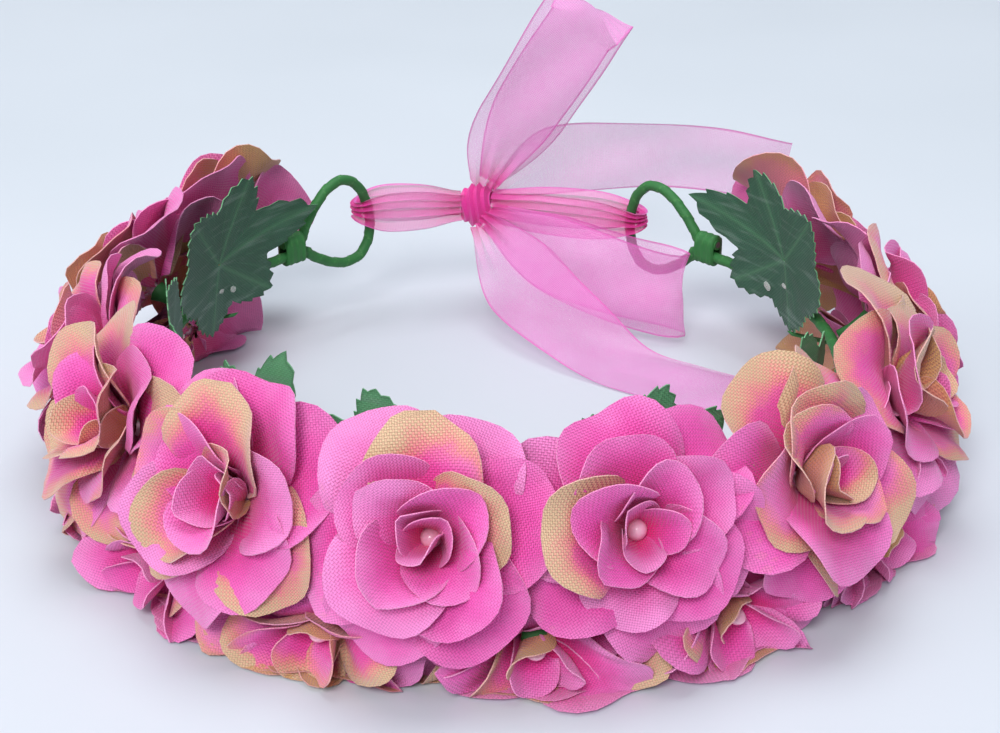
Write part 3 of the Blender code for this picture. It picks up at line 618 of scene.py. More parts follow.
def petal_whorl_tree():
    """One whorl of petals: stamps picked at random, set in a ring round +Z and leaned in or out."""
    tree, inputs, output = tree_with("Petal whorl", (
        ("Petal stamps", "NodeSocketCollection", None), ("Petals", "NodeSocketInt", 5),
        ("Foot radius", "NodeSocketFloat", 0.002), ("Foot height", "NodeSocketFloat", -0.009),
        ("Lean", "NodeSocketFloat", 0.0), ("Lean spread", "NodeSocketFloat", 0.1),
        ("Turn", "NodeSocketFloat", 0.0), ("Turn spread", "NodeSocketFloat", 0.1),
        ("Size", "NodeSocketFloat", 1.0), ("Size spread", "NodeSocketFloat", 0.05),
        ("Dipped share", "NodeSocketFloat", 0.4), ("Seed", "NodeSocketInt", 1)))
    seeds = [add(tree, "ShaderNodeMath", {0: inputs["Seed"], 1: 17.0, 2: float(i)}, operation="MULTIPLY_ADD")
             for i in range(9)]
    stamp = add(tree, "FunctionNodeRandomValue", {4: 0, 5: 100, "Seed": seeds.pop(4)}, output=2, data_type="INT")
    ranges = ((-1.0, 1.0), (-1.0, 1.0), (-0.12, 0.12), (-1.0, 1.0), (0.0, 1.0), (0.55, 1.0), (0.0, 1.0), (-1.0, 1.0))
    turned_by, leaned_by, tipped_by, sized_by, dip_chance, dip_depth, tone, slant = (
        add(tree, "FunctionNodeRandomValue", {2: low, 3: high, "Seed": seed}, output=1)
        for (low, high), seed in zip(ranges, seeds))
    index = add(tree, "GeometryNodeInputIndex")
    turn = add(tree, "ShaderNodeMath",
               {0: add(tree, "ShaderNodeMath", {0: index, 1: 2 * math.pi}, operation="MULTIPLY"),
                1: inputs["Petals"]}, operation="DIVIDE")
    turn = add(tree, "ShaderNodeMath", {0: turn, 1: inputs["Turn"]}, operation="ADD")
    turn = add(tree, "ShaderNodeMath", {0: turned_by, 1: inputs["Turn spread"], 2: turn}, operation="MULTIPLY_ADD")
    lean = add(tree, "ShaderNodeMath", {0: leaned_by, 1: inputs["Lean spread"], 2: inputs["Lean"]},
               operation="MULTIPLY_ADD")
    height = add(tree, "ShaderNodeMath", {0: index, 1: 0.00022, 2: inputs["Foot height"]}, operation="MULTIPLY_ADD")
    foot = add(tree, "ShaderNodeCombineXYZ", {0: 0.0, 1: inputs["Foot radius"], 2: height})
    foot = add(tree, "ShaderNodeVectorRotate", {"Vector": foot, "Angle": turn}, rotation_type="Z_AXIS")
    ring = add(tree, "GeometryNodePoints", {"Count": inputs["Petals"], "Position": foot})
    stamps = add(tree, "GeometryNodeCollectionInfo",
                 {"Collection": inputs["Petal stamps"], "Separate Children": True, "Reset Children": True})
    facing = add(tree, "ShaderNodeCombineXYZ", {0: lean, 1: tipped_by, 2: turn})
    size = add(tree, "ShaderNodeMath", {0: sized_by, 1: inputs["Size spread"], 2: inputs["Size"]},
               operation="MULTIPLY_ADD")
    placed = add(tree, "GeometryNodeInstanceOnPoints", {
        "Points": ring, "Instance": stamps, "Pick Instance": True, "Instance Index": stamp, "Rotation": facing,
        "Scale": size})
    dipped = add(tree, "ShaderNodeMath", {0: dip_chance, 1: inputs["Dipped share"]}, operation="LESS_THAN")
    dye = add(tree, "ShaderNodeMath", {0: dipped, 1: dip_depth}, operation="MULTIPLY")
    for key, value in (("dye", dye), ("tone", tone), ("slant", slant)):
        placed = add(tree, "GeometryNodeStoreNamedAttribute", {"Geometry": placed, "Name": key, "Value": value},
                     data_type="FLOAT", domain="INSTANCE")
    tree.links.new(placed, output.inputs[0])
    return tree


def rose_tree(name, whorl, stamps, whorls):
    """Some whorls of petals joined, realised and given the petal cloth."""
    tree, inputs, output = tree_with(name, (
        ("Opening", "NodeSocketFloat", 0.0), ("Turn", "NodeSocketFloat", 0.0),
        ("Dipped share", "NodeSocketFloat", 0.4), ("Seed", "NodeSocketInt", 1)))
    join = add(tree, "GeometryNodeJoinGeometry", output=None)
    for place, (kind, petals, foot, height, lean, lean_spread, turn, turn_spread, size) in enumerate(whorls):
        values = {"Petal stamps": stamps[kind], "Petals": petals, "Foot radius": foot, "Foot height": height,
                  "Lean": add(tree, "ShaderNodeMath", {0: math.radians(lean), 1: inputs["Opening"]},
                              operation="SUBTRACT"), "Lean spread": math.radians(lean_spread),
                  "Turn": add(tree, "ShaderNodeMath", {0: inputs["Turn"], 1: math.radians(turn)}, operation="ADD"),
                  "Turn spread": math.radians(turn_spread), "Size": size, "Size spread": SIZE_SPREAD,
                  "Dipped share": inputs["Dipped share"],
                  "Seed": add(tree, "ShaderNodeMath", {0: inputs["Seed"], 1: 7.0, 2: float(place)},
                              operation="MULTIPLY_ADD")}
        tree.links.new(add(tree, "GeometryNodeGroup", values, node_tree=whorl), join.inputs[0])
    return end_tree(tree, join.outputs[0], "petal", output)


def grown(name, tree, values, start=None):
    """The plain mesh that a tree grows, with its inputs set by their identifiers first."""
    obj = bpy.data.objects.new(name, start or bpy.data.meshes.new(name))
    bpy.context.scene.collection.objects.link(obj)
    modifier = obj.modifiers.new("grow", "NODES")
    modifier.node_group = tree
    names = {s.name: s.identifier for s in tree.interface.items_tree
             if s.item_type == "SOCKET" and s.in_out == "INPUT"}
    for key, value in values.items():
        modifier[names[key]] = value
    bpy.context.view_layer.update()
    mesh = bpy.data.meshes.new_from_object(obj.evaluated_get(bpy.context.evaluated_depsgraph_get()))
    bpy.data.objects.remove(obj)
    if not mesh.polygons:
        raise RuntimeError(f"{name}: the tree made no faces")
    mesh.materials.clear()
    mesh.polygons.foreach_set("material_index", np.zeros(len(mesh.polygons), np.int32))
    mesh.name = name
    return mesh


def points_of(mesh):
    co = np.zeros(len(mesh.vertices) * 3, np.float32)
    mesh.vertices.foreach_get("co", co)
    return co.reshape(-1, 3).astype(float)


def set_points(mesh, points):
    mesh.vertices.foreach_set("co", np.asarray(points, np.float32).ravel())
    mesh.update()


def merged(mesh, distance, turn_out=False):
    """Joins a mesh's points that lie together, and can point its faces outwards."""
    bm = bmesh.new()
    bm.from_mesh(mesh)
    bmesh.ops.remove_doubles(bm, verts=bm.verts, dist=distance)
    if turn_out:
        bmesh.ops.recalc_face_normals(bm, faces=bm.faces)
    bm.to_mesh(mesh)
    bm.free()


def add_piece(mesh, body, finishes, slot, *stands_for):
    """Puts a finished mesh in the scene as a piece of the crown."""
    obj = bpy.data.objects.new(mesh.name, mesh)
    bpy.context.scene.collection.objects.link(obj)
    for place, finish in enumerate(finishes):
        if place < len(mesh.materials):
            mesh.materials[place] = finish_of(finish)
        else:
            mesh.materials.append(finish_of(finish))
    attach(obj, body)
    if stands_for:
        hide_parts(*stands_for)
    return obj


# ---------------------------------------------------------------- roses


def rose_frame(azimuth, rim_radius, rim_height, tilt):
    """A rose's own axes: X along the hoop, Z the way it faces, origin at the middle of its rim."""
    out, along = around(azimuth)
    lean = math.radians(tilt)
    facing = math.cos(lean) * out + Vector((0, 0, math.sin(lean)))
    place = Matrix.Translation(CENTRE + rim_radius * out + Vector((0, 0, rim_height)))
    return place @ Matrix((along, facing.cross(along), facing)).transposed().to_4x4()


def half_chords(azimuths, radius):
    halves = []
    for place, azimuth in enumerate(azimuths):
        beside = [azimuths[i] for i in (place - 1, place + 1) if 0 <= i < len(azimuths)]
        halves.append(min(radius * math.sin(math.radians(abs(azimuth - other) / 2)) for other in beside))
    return halves


def turned(profile, steps, along=lambda s: Vector((0, 0, 0))):
    """A round form from (radius, height) points, as vertices and faces, with capped poles."""
    verts, faces = [], []
    for i, (radius, height) in enumerate(profile):
        shift = along(i / (len(profile) - 1))
        for k in range(steps):
            turn = 2 * math.pi * k / steps
            verts.append((shift.x + radius * math.cos(turn), shift.y + radius * math.sin(turn), height))
    for i in range(len(profile) - 1):
        for k in range(steps):
            n = (k + 1) % steps
            faces.append((i * steps + k, i * steps + n, (i + 1) * steps + n, (i + 1) * steps + k))
    faces.append(tuple(range(steps))[::-1])
    faces.append(tuple((len(profile) - 1) * steps + k for k in range(steps)))
    return verts, faces


def with_extra(mesh, verts, faces, material_index):
    """Adds a second form to a mesh, with its own material."""
    bm = bmesh.new()
    bm.from_mesh(mesh)
    made = [bm.verts.new(v) for v in verts]
    for face in faces:
        new = bm.faces.new([made[i] for i in face])
        new.material_index = material_index
        new.smooth = True
    bm.to_mesh(mesh)
    bm.free()


def onto_table(points):
    """Cloth that would go through the table folds outwards along it instead."""
    low = np.maximum(FLOOR_GAP - points[:, 2], 0)
    out = points[:, :2] - np.array(CENTRE[:2])
    out /= np.maximum(np.linalg.norm(out, axis=1, keepdims=True), 1e-9)
    points = points.copy()
    points[:, :2] += out * (0.45 * low)[:, None]
    points[:, 2] = np.where(low > 0, FLOOR_GAP + 0.10 * low, points[:, 2])
    return points


def set_rose(name, place, petals, heart, squeeze, stem, drop, lower=False):
    """Seats one rose's petals and heart on the hoop. Squeeze is where its neighbours stop it."""
    half, flatten = squeeze
    depth, shift = stem
    matrix = np.array(place)
    foot = ROSE_FOOT
    profile = [(0.0013, -depth), (0.0014, -0.6 * depth + 0.4 * foot), (0.0022, foot - 0.002), (0.0030, foot),
               (0.0018, foot + 0.0006)]
    with_extra(petals, *turned(profile, 10, lambda s: Vector((0, shift * (1 - s) / flatten, 0))), 1)
    for mesh in (petals, heart):
        co = points_of(mesh)
        over = np.maximum(np.abs(co[:, 0]) - half, 0)
        co[:, 0] -= np.sign(co[:, 0]) * over * PRESSED_SHARE
        co[:, 2] += over * TIPPED_SHARE * np.sign(co[:, 0])
        if lower:
            up = np.maximum(co[:, 1], 0)
            co[:, 2] -= 0.45 * up
            co[:, 1] -= 0.5 * up
        co[:, 1] = co[:, 1] * flatten + drop
        co = co @ matrix[:3, :3].T + matrix[:3, 3]
        set_points(mesh, onto_table(co))
    add_piece(petals, "crown", ("petal", "tape"), "petals", f"{name}_petals")
    add_piece(heart, "crown", ("petal", "bead"), "hearts", f"{name}_heart")


def bead(mesh, centre, dice):
    """The moulded bead and its glue in the middle of a rose."""
    radius = dice.uniform(0.0021, 0.0026)
    profile = [(radius * 0.75, centre - 0.006), (radius * 0.9, centre - 0.002)]
    profile += [(radius * math.cos(t), centre + radius * 1.1 * math.sin(t)) for t in (0.0, 0.35, 0.7, 1.0, 1.3, 1.5)]
    with_extra(mesh, *turned(profile, 12), 1)


def make_roses(lower):
    cloth = bpy.context.scene.crown_cloth
    sizes = bpy.context.scene.crown_roses
    dice = random.Random(41 if lower else 23)
    stamps = stamp_petals(dice, cloth.thickness)
    whorl = petal_whorl_tree()
    # kind, petals, foot radius, foot height, lean, its spread, turn, its spread, size
    if lower:
        outside = (("outer", sizes.outer_petals, 0.0016, -0.0168, -10, 9, 15, 14, 1.04),
                   ("outer", sizes.outer_petals, 0.0016, -0.0150, 6, 12, 0, 14, 1.0),
                   ("middle", sizes.middle_petals, 0.0012, -0.0140, 14, 12, 36, 14, 1.05))
        inside = (("inner", 5, 0.0014, -0.0155, 34, 12, 0, 16, 1.1), ("bud", 3, 0.0016, -0.0150, 62, 9, 40, 18, 1.1))
    else:
        outside = (("outer", sizes.outer_petals, 0.0016, -0.0092, 2, 6, 0, 12, 1.02),
                   ("middle", sizes.middle_petals, 0.0014, -0.0080, 18, 8, 32, 14, 1.02))
        inside = (("inner", sizes.inner_petals, 0.0015, -0.007, 48, 9, 14, 18, 1.0),
                  ("bud", 3, 0.0013, -0.006, 66, 8, 40, 25, 1.0))
    kind = "Lower rose" if lower else "Upper rose"
    petal_tree = rose_tree(f"{kind} petals", whorl, stamps, outside)
    heart_tree = rose_tree(f"{kind} heart", whorl, stamps, inside)
    if lower:
        azimuths = [(a + b) / 2 for a, b in zip(UPPER_AZIMUTHS, UPPER_AZIMUTHS[1:])]
        tilt = math.radians(LOWER_TILT)
        rim_radius = HOOP_RADIUS + LOWER_REACH
        rim_height = LOWER_HALF_HEIGHT * math.cos(tilt) - LOWER_CRUSH
        seat = TAPE_RADIUS + SEAT_CLEARANCE + STEM_RADIUS
        angle = math.radians(LOWER_SEAT_ANGLE)
        back = Vector((seat * math.cos(angle) - LOWER_REACH, HOOP_HEIGHT + seat * math.sin(angle) - rim_height))
        stem = (-back.dot(Vector((math.cos(tilt), math.sin(tilt)))),
                back.dot(Vector((-math.sin(tilt), math.cos(tilt)))))
        tilt, label, flatten = LOWER_TILT, "lower_rose", 0.80
    else:
        azimuths = UPPER_AZIMUTHS
        tilt = math.radians(UPPER_TILT)
        seat = TAPE_RADIUS + SEAT_CLEARANCE + UPPER_DEPTH
        rim_radius = HOOP_RADIUS + seat * math.cos(tilt)
        rim_height = HOOP_HEIGHT + seat * math.sin(tilt)
        stem = (UPPER_DEPTH, 0.0)
        tilt, label, flatten = UPPER_TILT, "upper_rose", 1.0
    halves = half_chords(azimuths, rim_radius)
    for number, (azimuth, half) in enumerate(zip(azimuths, halves), 1):
        name = f"{label}_{number:02d}"
        values = {"Opening": math.radians(dice.uniform(-5, 7)), "Turn": dice.uniform(0, 6.28),
                  "Dipped share": dice.uniform(0.24, 0.46), "Seed": number * 3 + (50 if lower else 0)}
        petals = grown(f"{name}_petal_whorls", petal_tree, values)
        heart = grown(f"{name}_rolled_heart", heart_tree, values)
        bead(heart, -0.0085 if lower else -0.0042, dice)
        set_rose(name, rose_frame(azimuth, rim_radius, rim_height, tilt), petals, heart, (half, flatten), stem,
                 -0.0015, lower)
    clear_stamps(stamps)


# ---------------------------------------------------------------- leaves


def leaf_outline(turn):
    """How far the leaf reaches at a turn from its tip, as a share of its length: five toothed lobes."""
    turn = abs((turn + 180) % 360 - 180)
    for (a, low), (b, high) in zip(LEAF_LOBES, LEAF_LOBES[1:]):
        if turn <= b:
            t = (turn - a) / (b - a)
            t = t ** 1.25 if low > high else 1 - (1 - t) ** 1.25
            return low + (high - low) * t
    return LEAF_LOBES[-1][1]


def make_leaf(name, azimuth, height, heading, length, breadth, layer, dice):
    """One leaf, curved round inside the hoop, with toothed lobes that lift a little from it."""
    rays, rings = 180, 9
    length *= LEAF_STRETCH
    thickness = bpy.context.scene.crown_cloth.thickness * 1.3
    base = HOOP_RADIUS - TAPE_RADIUS - 0.0007 - layer * LAYER_STEP
    flat, reach, veins = [], [], []
    tips = [turn for turn, share in LEAF_LOBES if share in (0.56, 0.42, 0.34) and turn < 180]
    tips = sorted({*tips, *(-t for t in tips)})
    phase = dice.uniform(0, 6)
    facing = Matrix.Rotation(math.radians(heading), 2)
    points = []
    for r in range(rings):
        share = 0.02 + 0.98 * r / (rings - 1)
        for k in range(rays + 1):
            turn = 360 * k / rays
            tooth = turn % LEAF_TOOTH / LEAF_TOOTH
            rim = leaf_outline(turn) * (1 - 0.085 * tooth * eased(share, 0.7, 1.0))
            angle = math.radians(turn)
            x, y = length * rim * share * (facing @ Vector((math.cos(angle), breadth * math.sin(angle))))
            flat.append((x, y))
            near = min(abs((turn - tip + 180) % 360 - 180) for tip in tips)
            vein = max(0.0, 1 - near * share / 2.2)
            side = 0.55 * max(0.0, 1 - abs(((share * length * 240 + near * 0.09) % 1.0) - 0.5) * 8) * (near < 26)
            veins.append(max(vein, side * eased(share, 0.1, 0.3)))
            reach.append(share)
            ripple = 0.0006 * share * math.sin(3 * angle + phase)
            ripple += 0.0004 * share * math.sin(math.radians(7 * turn) + phase)
            out, _ = around(azimuth + math.degrees(x / base))
            points.append(CENTRE + (base - 0.0002 + ripple * 0.6) * out + Vector((0, 0, height + y)))
    mesh = sheet_mesh(name + "_cloth", [tuple(p) for p in points], flat, rings, rays + 1, thickness,
                      {"reach": reach, "vein": veins})
    merged(mesh, 2e-6)
    add_piece(mesh, "crown", ("leaf",), "leaves", name)


# ---------------------------------------------------------------- hoop


def arm_end(side):
    sign = 1 if side == "right" else -1
    out, along = around(sign * ARM_AZIMUTH)
    neck = HOOP_RADIUS * out + Vector((0, 0, HOOP_HEIGHT + STRAND_SPACING / 2))
    return neck, sign * along, sign


def eyelet_points(side, steps=12):
    """The loop of one arm, from its lower strand round the tip to its free end above the arm."""
    neck, along, sign = arm_end(side)
    pitch = math.radians(EYELET_PITCH[side])
    forward = math.cos(pitch) * along + Vector((0, 0, math.sin(pitch)))
    upward = math.cos(pitch) * Vector((0, 0, 1)) - math.sin(pitch) * along
    points = []
    for i in range(1, steps):
        turn = 2 * math.pi * i / steps
        reach = EYELET_LENGTH * (1 - math.cos(turn)) / 2
        rise = -EYELET_HEIGHT / 2 * math.sin(turn) * math.sin(turn / 2) / 0.77
        rise -= STRAND_SPACING / 2 * math.cos(turn / 2)
        points.append(neck + reach * forward + rise * upward)
    for back in (0.0, FREE_END / 2, FREE_END):
        out, _ = around(sign * (ARM_AZIMUTH - math.degrees(back / HOOP_RADIUS)))
        points.append(HOOP_RADIUS * out + Vector((0, 0, HOOP_HEIGHT + STRAND_SPACING)))
    return points


def eyelet_tip(side):
    """The eyelet's far end, half way round its loop."""
    return eyelet_points(side)[5]


def hoop_points():
    hoop = [HOOP_RADIUS * around(ARM_AZIMUTH * (2 * i / 28 - 1))[0] + Vector((0, 0, HOOP_HEIGHT)) for i in range(29)]
    return eyelet_points("left")[::-1] + hoop + eyelet_points("right")


def curve_of(name, points):
    curve = bpy.data.curves.new(name, "CURVE")
    curve.dimensions = "3D"
    spline = curve.splines.new("POLY")
    spline.points.add(len(points) - 1)
    for place, point in zip(spline.points, points):
        place.co = (*point, 1.0)
    return curve


def tape_tree():
    """Tape wound in a spiral along a wire: a tube whose skin steps up at each turn's overlapping edge."""
    tree, inputs, output = tree_with("Tape winding", (
        ("Geometry", "NodeSocketGeometry", None), ("Tube radius", "NodeSocketFloat", 0.0016),
        ("Winding pitch", "NodeSocketFloat", 0.005), ("Overlap height", "NodeSocketFloat", 0.0003),
        ("Sides", "NodeSocketInt", 16)))
    length = add(tree, "GeometryNodeSplineParameter", output="Length")
    path = add(tree, "GeometryNodeStoreNamedAttribute",
               {"Geometry": inputs["Geometry"], "Name": "run", "Value": length}, data_type="FLOAT", domain="POINT")
    ring = add(tree, "GeometryNodeCurvePrimitiveCircle",
               {"Resolution": inputs["Sides"], "Radius": inputs["Tube radius"]})
    index = add(tree, "GeometryNodeInputIndex")
    ring = add(tree, "GeometryNodeStoreNamedAttribute",
               {"Geometry": ring, "Name": "round",
                "Value": add(tree, "ShaderNodeMath", {0: index, 1: inputs["Sides"]}, operation="DIVIDE")},
               data_type="FLOAT", domain="POINT")
    tube = add(tree, "GeometryNodeCurveToMesh", {"Curve": path, "Profile Curve": ring, "Fill Caps": True})
    run = add(tree, "GeometryNodeInputNamedAttribute", {"Name": "run"}, data_type="FLOAT")
    turn = add(tree, "GeometryNodeInputNamedAttribute", {"Name": "round"}, data_type="FLOAT")
    lap = add(tree, "ShaderNodeMath",
              {0: add(tree, "ShaderNodeMath",
                      {0: add(tree, "ShaderNodeMath", {0: run, 1: inputs["Winding pitch"]}, operation="DIVIDE"),
                       1: turn}, operation="ADD")}, operation="FRACT")
    tube = add(tree, "GeometryNodeStoreNamedAttribute", {"Geometry": tube, "Name": "lap", "Value": lap},
               data_type="FLOAT", domain="POINT")
    lift = add(tree, "ShaderNodeMath", {0: lap, 1: inputs["Overlap height"]}, operation="MULTIPLY")
    bumps = add(tree, "ShaderNodeTexNoise", {"Scale": 420.0, "Detail": 1.0})
    lift = add(tree, "ShaderNodeMath", {0: add(tree, "ShaderNodeMath", {0: bumps, 1: 0.5}, operation="SUBTRACT"),
                                        1: 0.0002, 2: lift}, operation="MULTIPLY_ADD")
    normal = add(tree, "GeometryNodeInputNormal")
    offset = add(tree, "ShaderNodeVectorMath", {0: normal, "Scale": lift}, operation="SCALE")
    moved = add(tree, "GeometryNodeSetPosition", {"Geometry": tube, "Offset": offset})
    return end_tree(tree, moved, "tape", output)


def make_taped_hoop():
    sizes = bpy.context.scene.crown_hoop
    route = smooth_route([CENTRE + p for p in hoop_points()], hoop_points(), 0.0006)
    tree = tape_tree()
    values = {"Tube radius": TAPE_RADIUS - 0.0004, "Winding pitch": sizes.winding_pitch,
              "Overlap height": sizes.overlap_height}
    mesh = grown("wound_floral_tape", tree, values, curve_of("tape_path", route))
    mesh.shade_smooth()
    add_piece(mesh, "crown", ("tape",), "floral_tape", "floral_tape")
    frame["nodes"]["hoop_wire"].data.materials.clear()
    frame["nodes"]["hoop_wire"].data.materials.append(finish_of("wire"))
    for side in ("left", "right"):
        make_binding(side)


def make_binding(side):
    """Tape wound round both strands at an eyelet's neck."""
    sign = 1 if side == "right" else -1
    rows, columns = 25, 33
    points, run, turn_of, lap = [], [], [], []
    for r in range(rows):
        t = r / (rows - 1)
        back = FREE_END / 2 + (t - 0.5) * 0.0066
        out, _ = around(sign * (ARM_AZIMUTH - math.degrees(back / HOOP_RADIUS)))
        middle = CENTRE + HOOP_RADIUS * out + Vector((0, 0, HOOP_HEIGHT + STRAND_SPACING / 2))
        for c in range(columns):
            share = c / (columns - 1)
            angle = 2 * math.pi * share
            step = (t * 3 + share) % 1.0
            radius = TAPE_RADIUS + 0.0007 + 0.0003 * step
            if r in (0, rows - 1):
                radius = TAPE_RADIUS * 0.8
            lift = STRAND_SPACING / 2 * (1 if math.sin(angle) > 0 else -1) * min(1, abs(math.sin(angle)) * 4)
            points.append(middle + radius * math.cos(angle) * out + Vector((0, 0, radius * math.sin(angle) + lift)))
            run.append(t * 0.006)
            turn_of.append(share)
            lap.append(step)
    mesh = bpy.data.meshes.new(f"eyelet_binding_{side}_wrap")
    mesh.from_pydata([tuple(p) for p in points], [], grid_faces(rows, columns))
    for key, values in (("run", run), ("round", turn_of), ("lap", lap)):
        set_layer(mesh, key, "POINT", values)
    merged(mesh, 1e-6, turn_out=True)
    mesh.shade_smooth()
    add_piece(mesh, "crown", ("tape",), "floral_tape", f"eyelet_binding_{side}")


# ---------------------------------------------------------------- ribbon


def run_along(points):
    """How far along the route each of its points lies."""
    lengths = [0.0]
    for a, b in zip(points, points[1:]):
        lengths.append(lengths[-1] + (b - a).length)
    return lengths


def ribbon_mesh(name, points, sides, widths, pleats, dice, ripple=0.0012):
    """A stretch of ribbon along its points, one layer of cloth. Where it is narrower than its cut width
    the rest of the width goes into pleats, and where it is open it ripples a little."""
    columns = 8 * pleats + 1
    lengths = run_along(points)
    phase = [dice.uniform(0, 6.28) for _ in range(4)]
    verts, flat, across, bunch = [], [], [], []
    for i, (point, side, width, run) in enumerate(zip(points, sides, widths, lengths)):
        ahead = (points[min(i + 1, len(points) - 1)] - points[max(i - 1, 0)]).normalized()
        side = (side - side.dot(ahead) * ahead).normalized()
        face = ahead.cross(side)
        whole = RIBBON_WIDTH / (2 * pleats)
        seen = min(width, RIBBON_WIDTH * 0.998) / (2 * pleats)
        deep = math.sqrt(whole * whole - seen * seen) / 2
        gathered = 1 - width / RIBBON_WIDTH
        for c in range(columns):
            t = 2 * c / (columns - 1) - 1
            wander = 0.13 * math.sin(2.3 * t + phase[0] + run * 40)
            fold = math.asin(math.sin(math.pi * pleats * (t + wander))) * 2 / math.pi
            soft = math.sin(2.4 * t + run * 85 + phase[1]) + 0.5 * math.sin(4.1 * t - run * 130 + phase[2])
            height = deep * fold * min(1.0, 1.3 * gathered + 0.05) + ripple * soft * (1 - gathered)
            verts.append(tuple(point + width / 2 * t * side + height * face))
            flat.append((RIBBON_WIDTH * t / 2, run))
            across.append(t)
            bunch.append(gathered)
    return sheet_mesh(name, verts, flat, len(points), columns, 0.0, {"across": across, "bunch": bunch}), lengths[-1]


def eased_width(run, total, closed, narrow, gather):
    near = min(run, total - run) if closed else run
    opened = math.sin(math.pi / 2 * min(1.0, near / gather))
    return narrow + (RIBBON_WIDTH - narrow) * opened


UPPER_LOOP_ROUTE = (
    (0.0022, -0.0022, 0.0076), (0.009, -0.0052, 0.024), (0.021, -0.004, 0.044), (0.0305, 0.001, 0.0565),
    (0.034, 0.0050, 0.0575), (0.030, 0.0070, 0.050), (0.018, 0.0060, 0.030), (0.0042, 0.002, 0.0078))
LOWER_LOOP_ROUTE = (
    (0.0055, -0.0067, -0.0050), (0.019, -0.0142, -0.0090), (0.039, -0.0237, -0.0140), (0.055, -0.0297, -0.0165),
    (0.061, -0.0282, -0.0170), (0.056, -0.0237, -0.0165), (0.040, -0.0182, -0.0145), (0.019, -0.0097, -0.0095),
    (0.0068, -0.0042, -0.0050))
BACK_TAIL_ROUTE = (
    (0.0062, 0.0066, 0.0035), (0.022, 0.0160, 0.0075), (0.047, 0.0185, 0.0095), (0.073, 0.0160, 0.0085),
    (0.094, 0.0110, 0.0050))
FRONT_TAIL_FALL = (
    (0.0012, -0.0082, 0), (0.011, -0.0190, 0.28), (0.026, -0.0330, 0.68), (0.041, -0.0455, 0.98),
    (0.058, -0.0565, 1), (0.078, -0.0680, 1))
FRONT_TAIL_ACROSS = (
    (0.45, 0.20, 0.85), (0.50, 0.35, 0.75), (0.60, 0.60, 0.45), (0.62, 0.75, 0.03), (0.60, 0.80, 0), (0.60, 0.80, 0))


def front_tail_route():
    fall = -0.0062 - (0.00105 - KNOT.z)
    return [(x, y, -0.0062 - share * fall) for x, y, share in FRONT_TAIL_FALL]


def make_band(name, body, node, route, across, closed, root, dice):
    sizes = bpy.context.scene.crown_ribbon
    # The gathers start inside the knot's wrap, at this share of the way out to the loop's own root.
    route = [root * Vector(route[0]), *route[1:-1], Vector(route[-1]) * (root if closed else 1)]
    points = [KNOT + p for p in smooth_route(route, route, 0.0016)]
    sides = smooth_route(across, route, 0.0016)
    lengths = run_along(points)
    widths = [eased_width(run, lengths[-1], closed, sizes.gathered_width, sizes.gather_length) for run in lengths]
    mesh, length = ribbon_mesh(name, points, sides, widths, 4, dice)
    co = points_of(mesh)
    co[:, 2] = np.maximum(co[:, 2], FLOOR_GAP)
    set_points(mesh, co)
    obj = add_piece(mesh, body, ("ribbon",), "ribbon", node)
    return obj


def make_tie(side, dice):
    """A gathered strand of ribbon from the knot, through an eyelet round its tip, and back."""
    tip = CENTRE + eyelet_tip(side)
    ahead = KNOT - tip
    ahead.z = 0
    ahead.normalize()
    beside = Vector((0, 0, 1)).cross(ahead)
    radius = TAPE_RADIUS + 0.0020
    root = KNOT + Vector((math.copysign(KNOT_HALF.x - 0.001, tip.x - KNOT.x), 0, 0))
    run = [root + 0.002 * beside, root.lerp(tip, 0.35) + 0.8 * radius * beside,
           root.lerp(tip, 0.75) + radius * beside]
    turn = [tip + radius * (math.cos(angle) * beside - math.sin(angle) * ahead)
            for angle in (math.pi * i / 6 for i in range(7))]
    back = [root.lerp(tip, 0.75) - radius * beside, root.lerp(tip, 0.35) - 0.8 * radius * beside,
            root - 0.002 * beside]
    route = run + turn + back
    points = smooth_route(route, route, 0.0012)
    lengths = run_along(points)
    widths, sides = [], []
    for run_so_far in lengths:
        share = run_so_far / lengths[-1]
        through = math.exp(-((share - 0.5) / 0.10) ** 2)
        at_knot = math.exp(-(min(share, 1 - share) / 0.12) ** 2)
        widths.append(0.0125 * (1 - 0.62 * max(through, 0.5 * at_knot)))
        sides.append(Vector((0, 0, 1)))
    mesh, length = ribbon_mesh(f"ribbon_tie_{side}_strand", points, sides, widths, 4, dice, 0.0004)
    obj = add_piece(mesh, "crown", ("ribbon",), "ribbon", f"ribbon_tie_{side}")


def make_knot():
    """The bow's knot: the ribbon wound once round the gathers, pulled tight into pleats."""
    rows, columns = 41, 33
    verts, flat, across, bunch = [], [], [], []
    for r in range(rows):
        turn = 2 * math.pi * 1.04 * r / (rows - 1)
        for c in range(columns):
            t = 2 * c / (columns - 1) - 1
            pleat = math.asin(math.sin(math.pi * 4 * t)) * 2 / math.pi
            bulge = 0.90 + 0.10 * math.cos(t * 1.5) + 0.10 * pleat
            x = KNOT_HALF.x * 0.80 * t + 0.0006 * math.sin(turn * 2)
            verts.append(tuple(KNOT + Vector((x, KNOT_HALF.y * bulge * math.sin(turn) * (1 - 0.25 * t * t),
                                             KNOT_HALF.z * bulge * math.cos(turn) * (1 - 0.25 * t * t)))))
            flat.append((RIBBON_WIDTH * t / 2, KNOT_WRAP[1] * r / (rows - 1)))
            across.append(t)
            bunch.append(1.0)
    mesh = sheet_mesh("bow_knot_wrap", verts, flat, rows, columns, 0.0, {"across": across, "bunch": bunch})
    obj = add_piece(mesh, "crown", ("ribbon",), "ribbon", "bow_knot")


# ---------------------------------------------------------------- glue


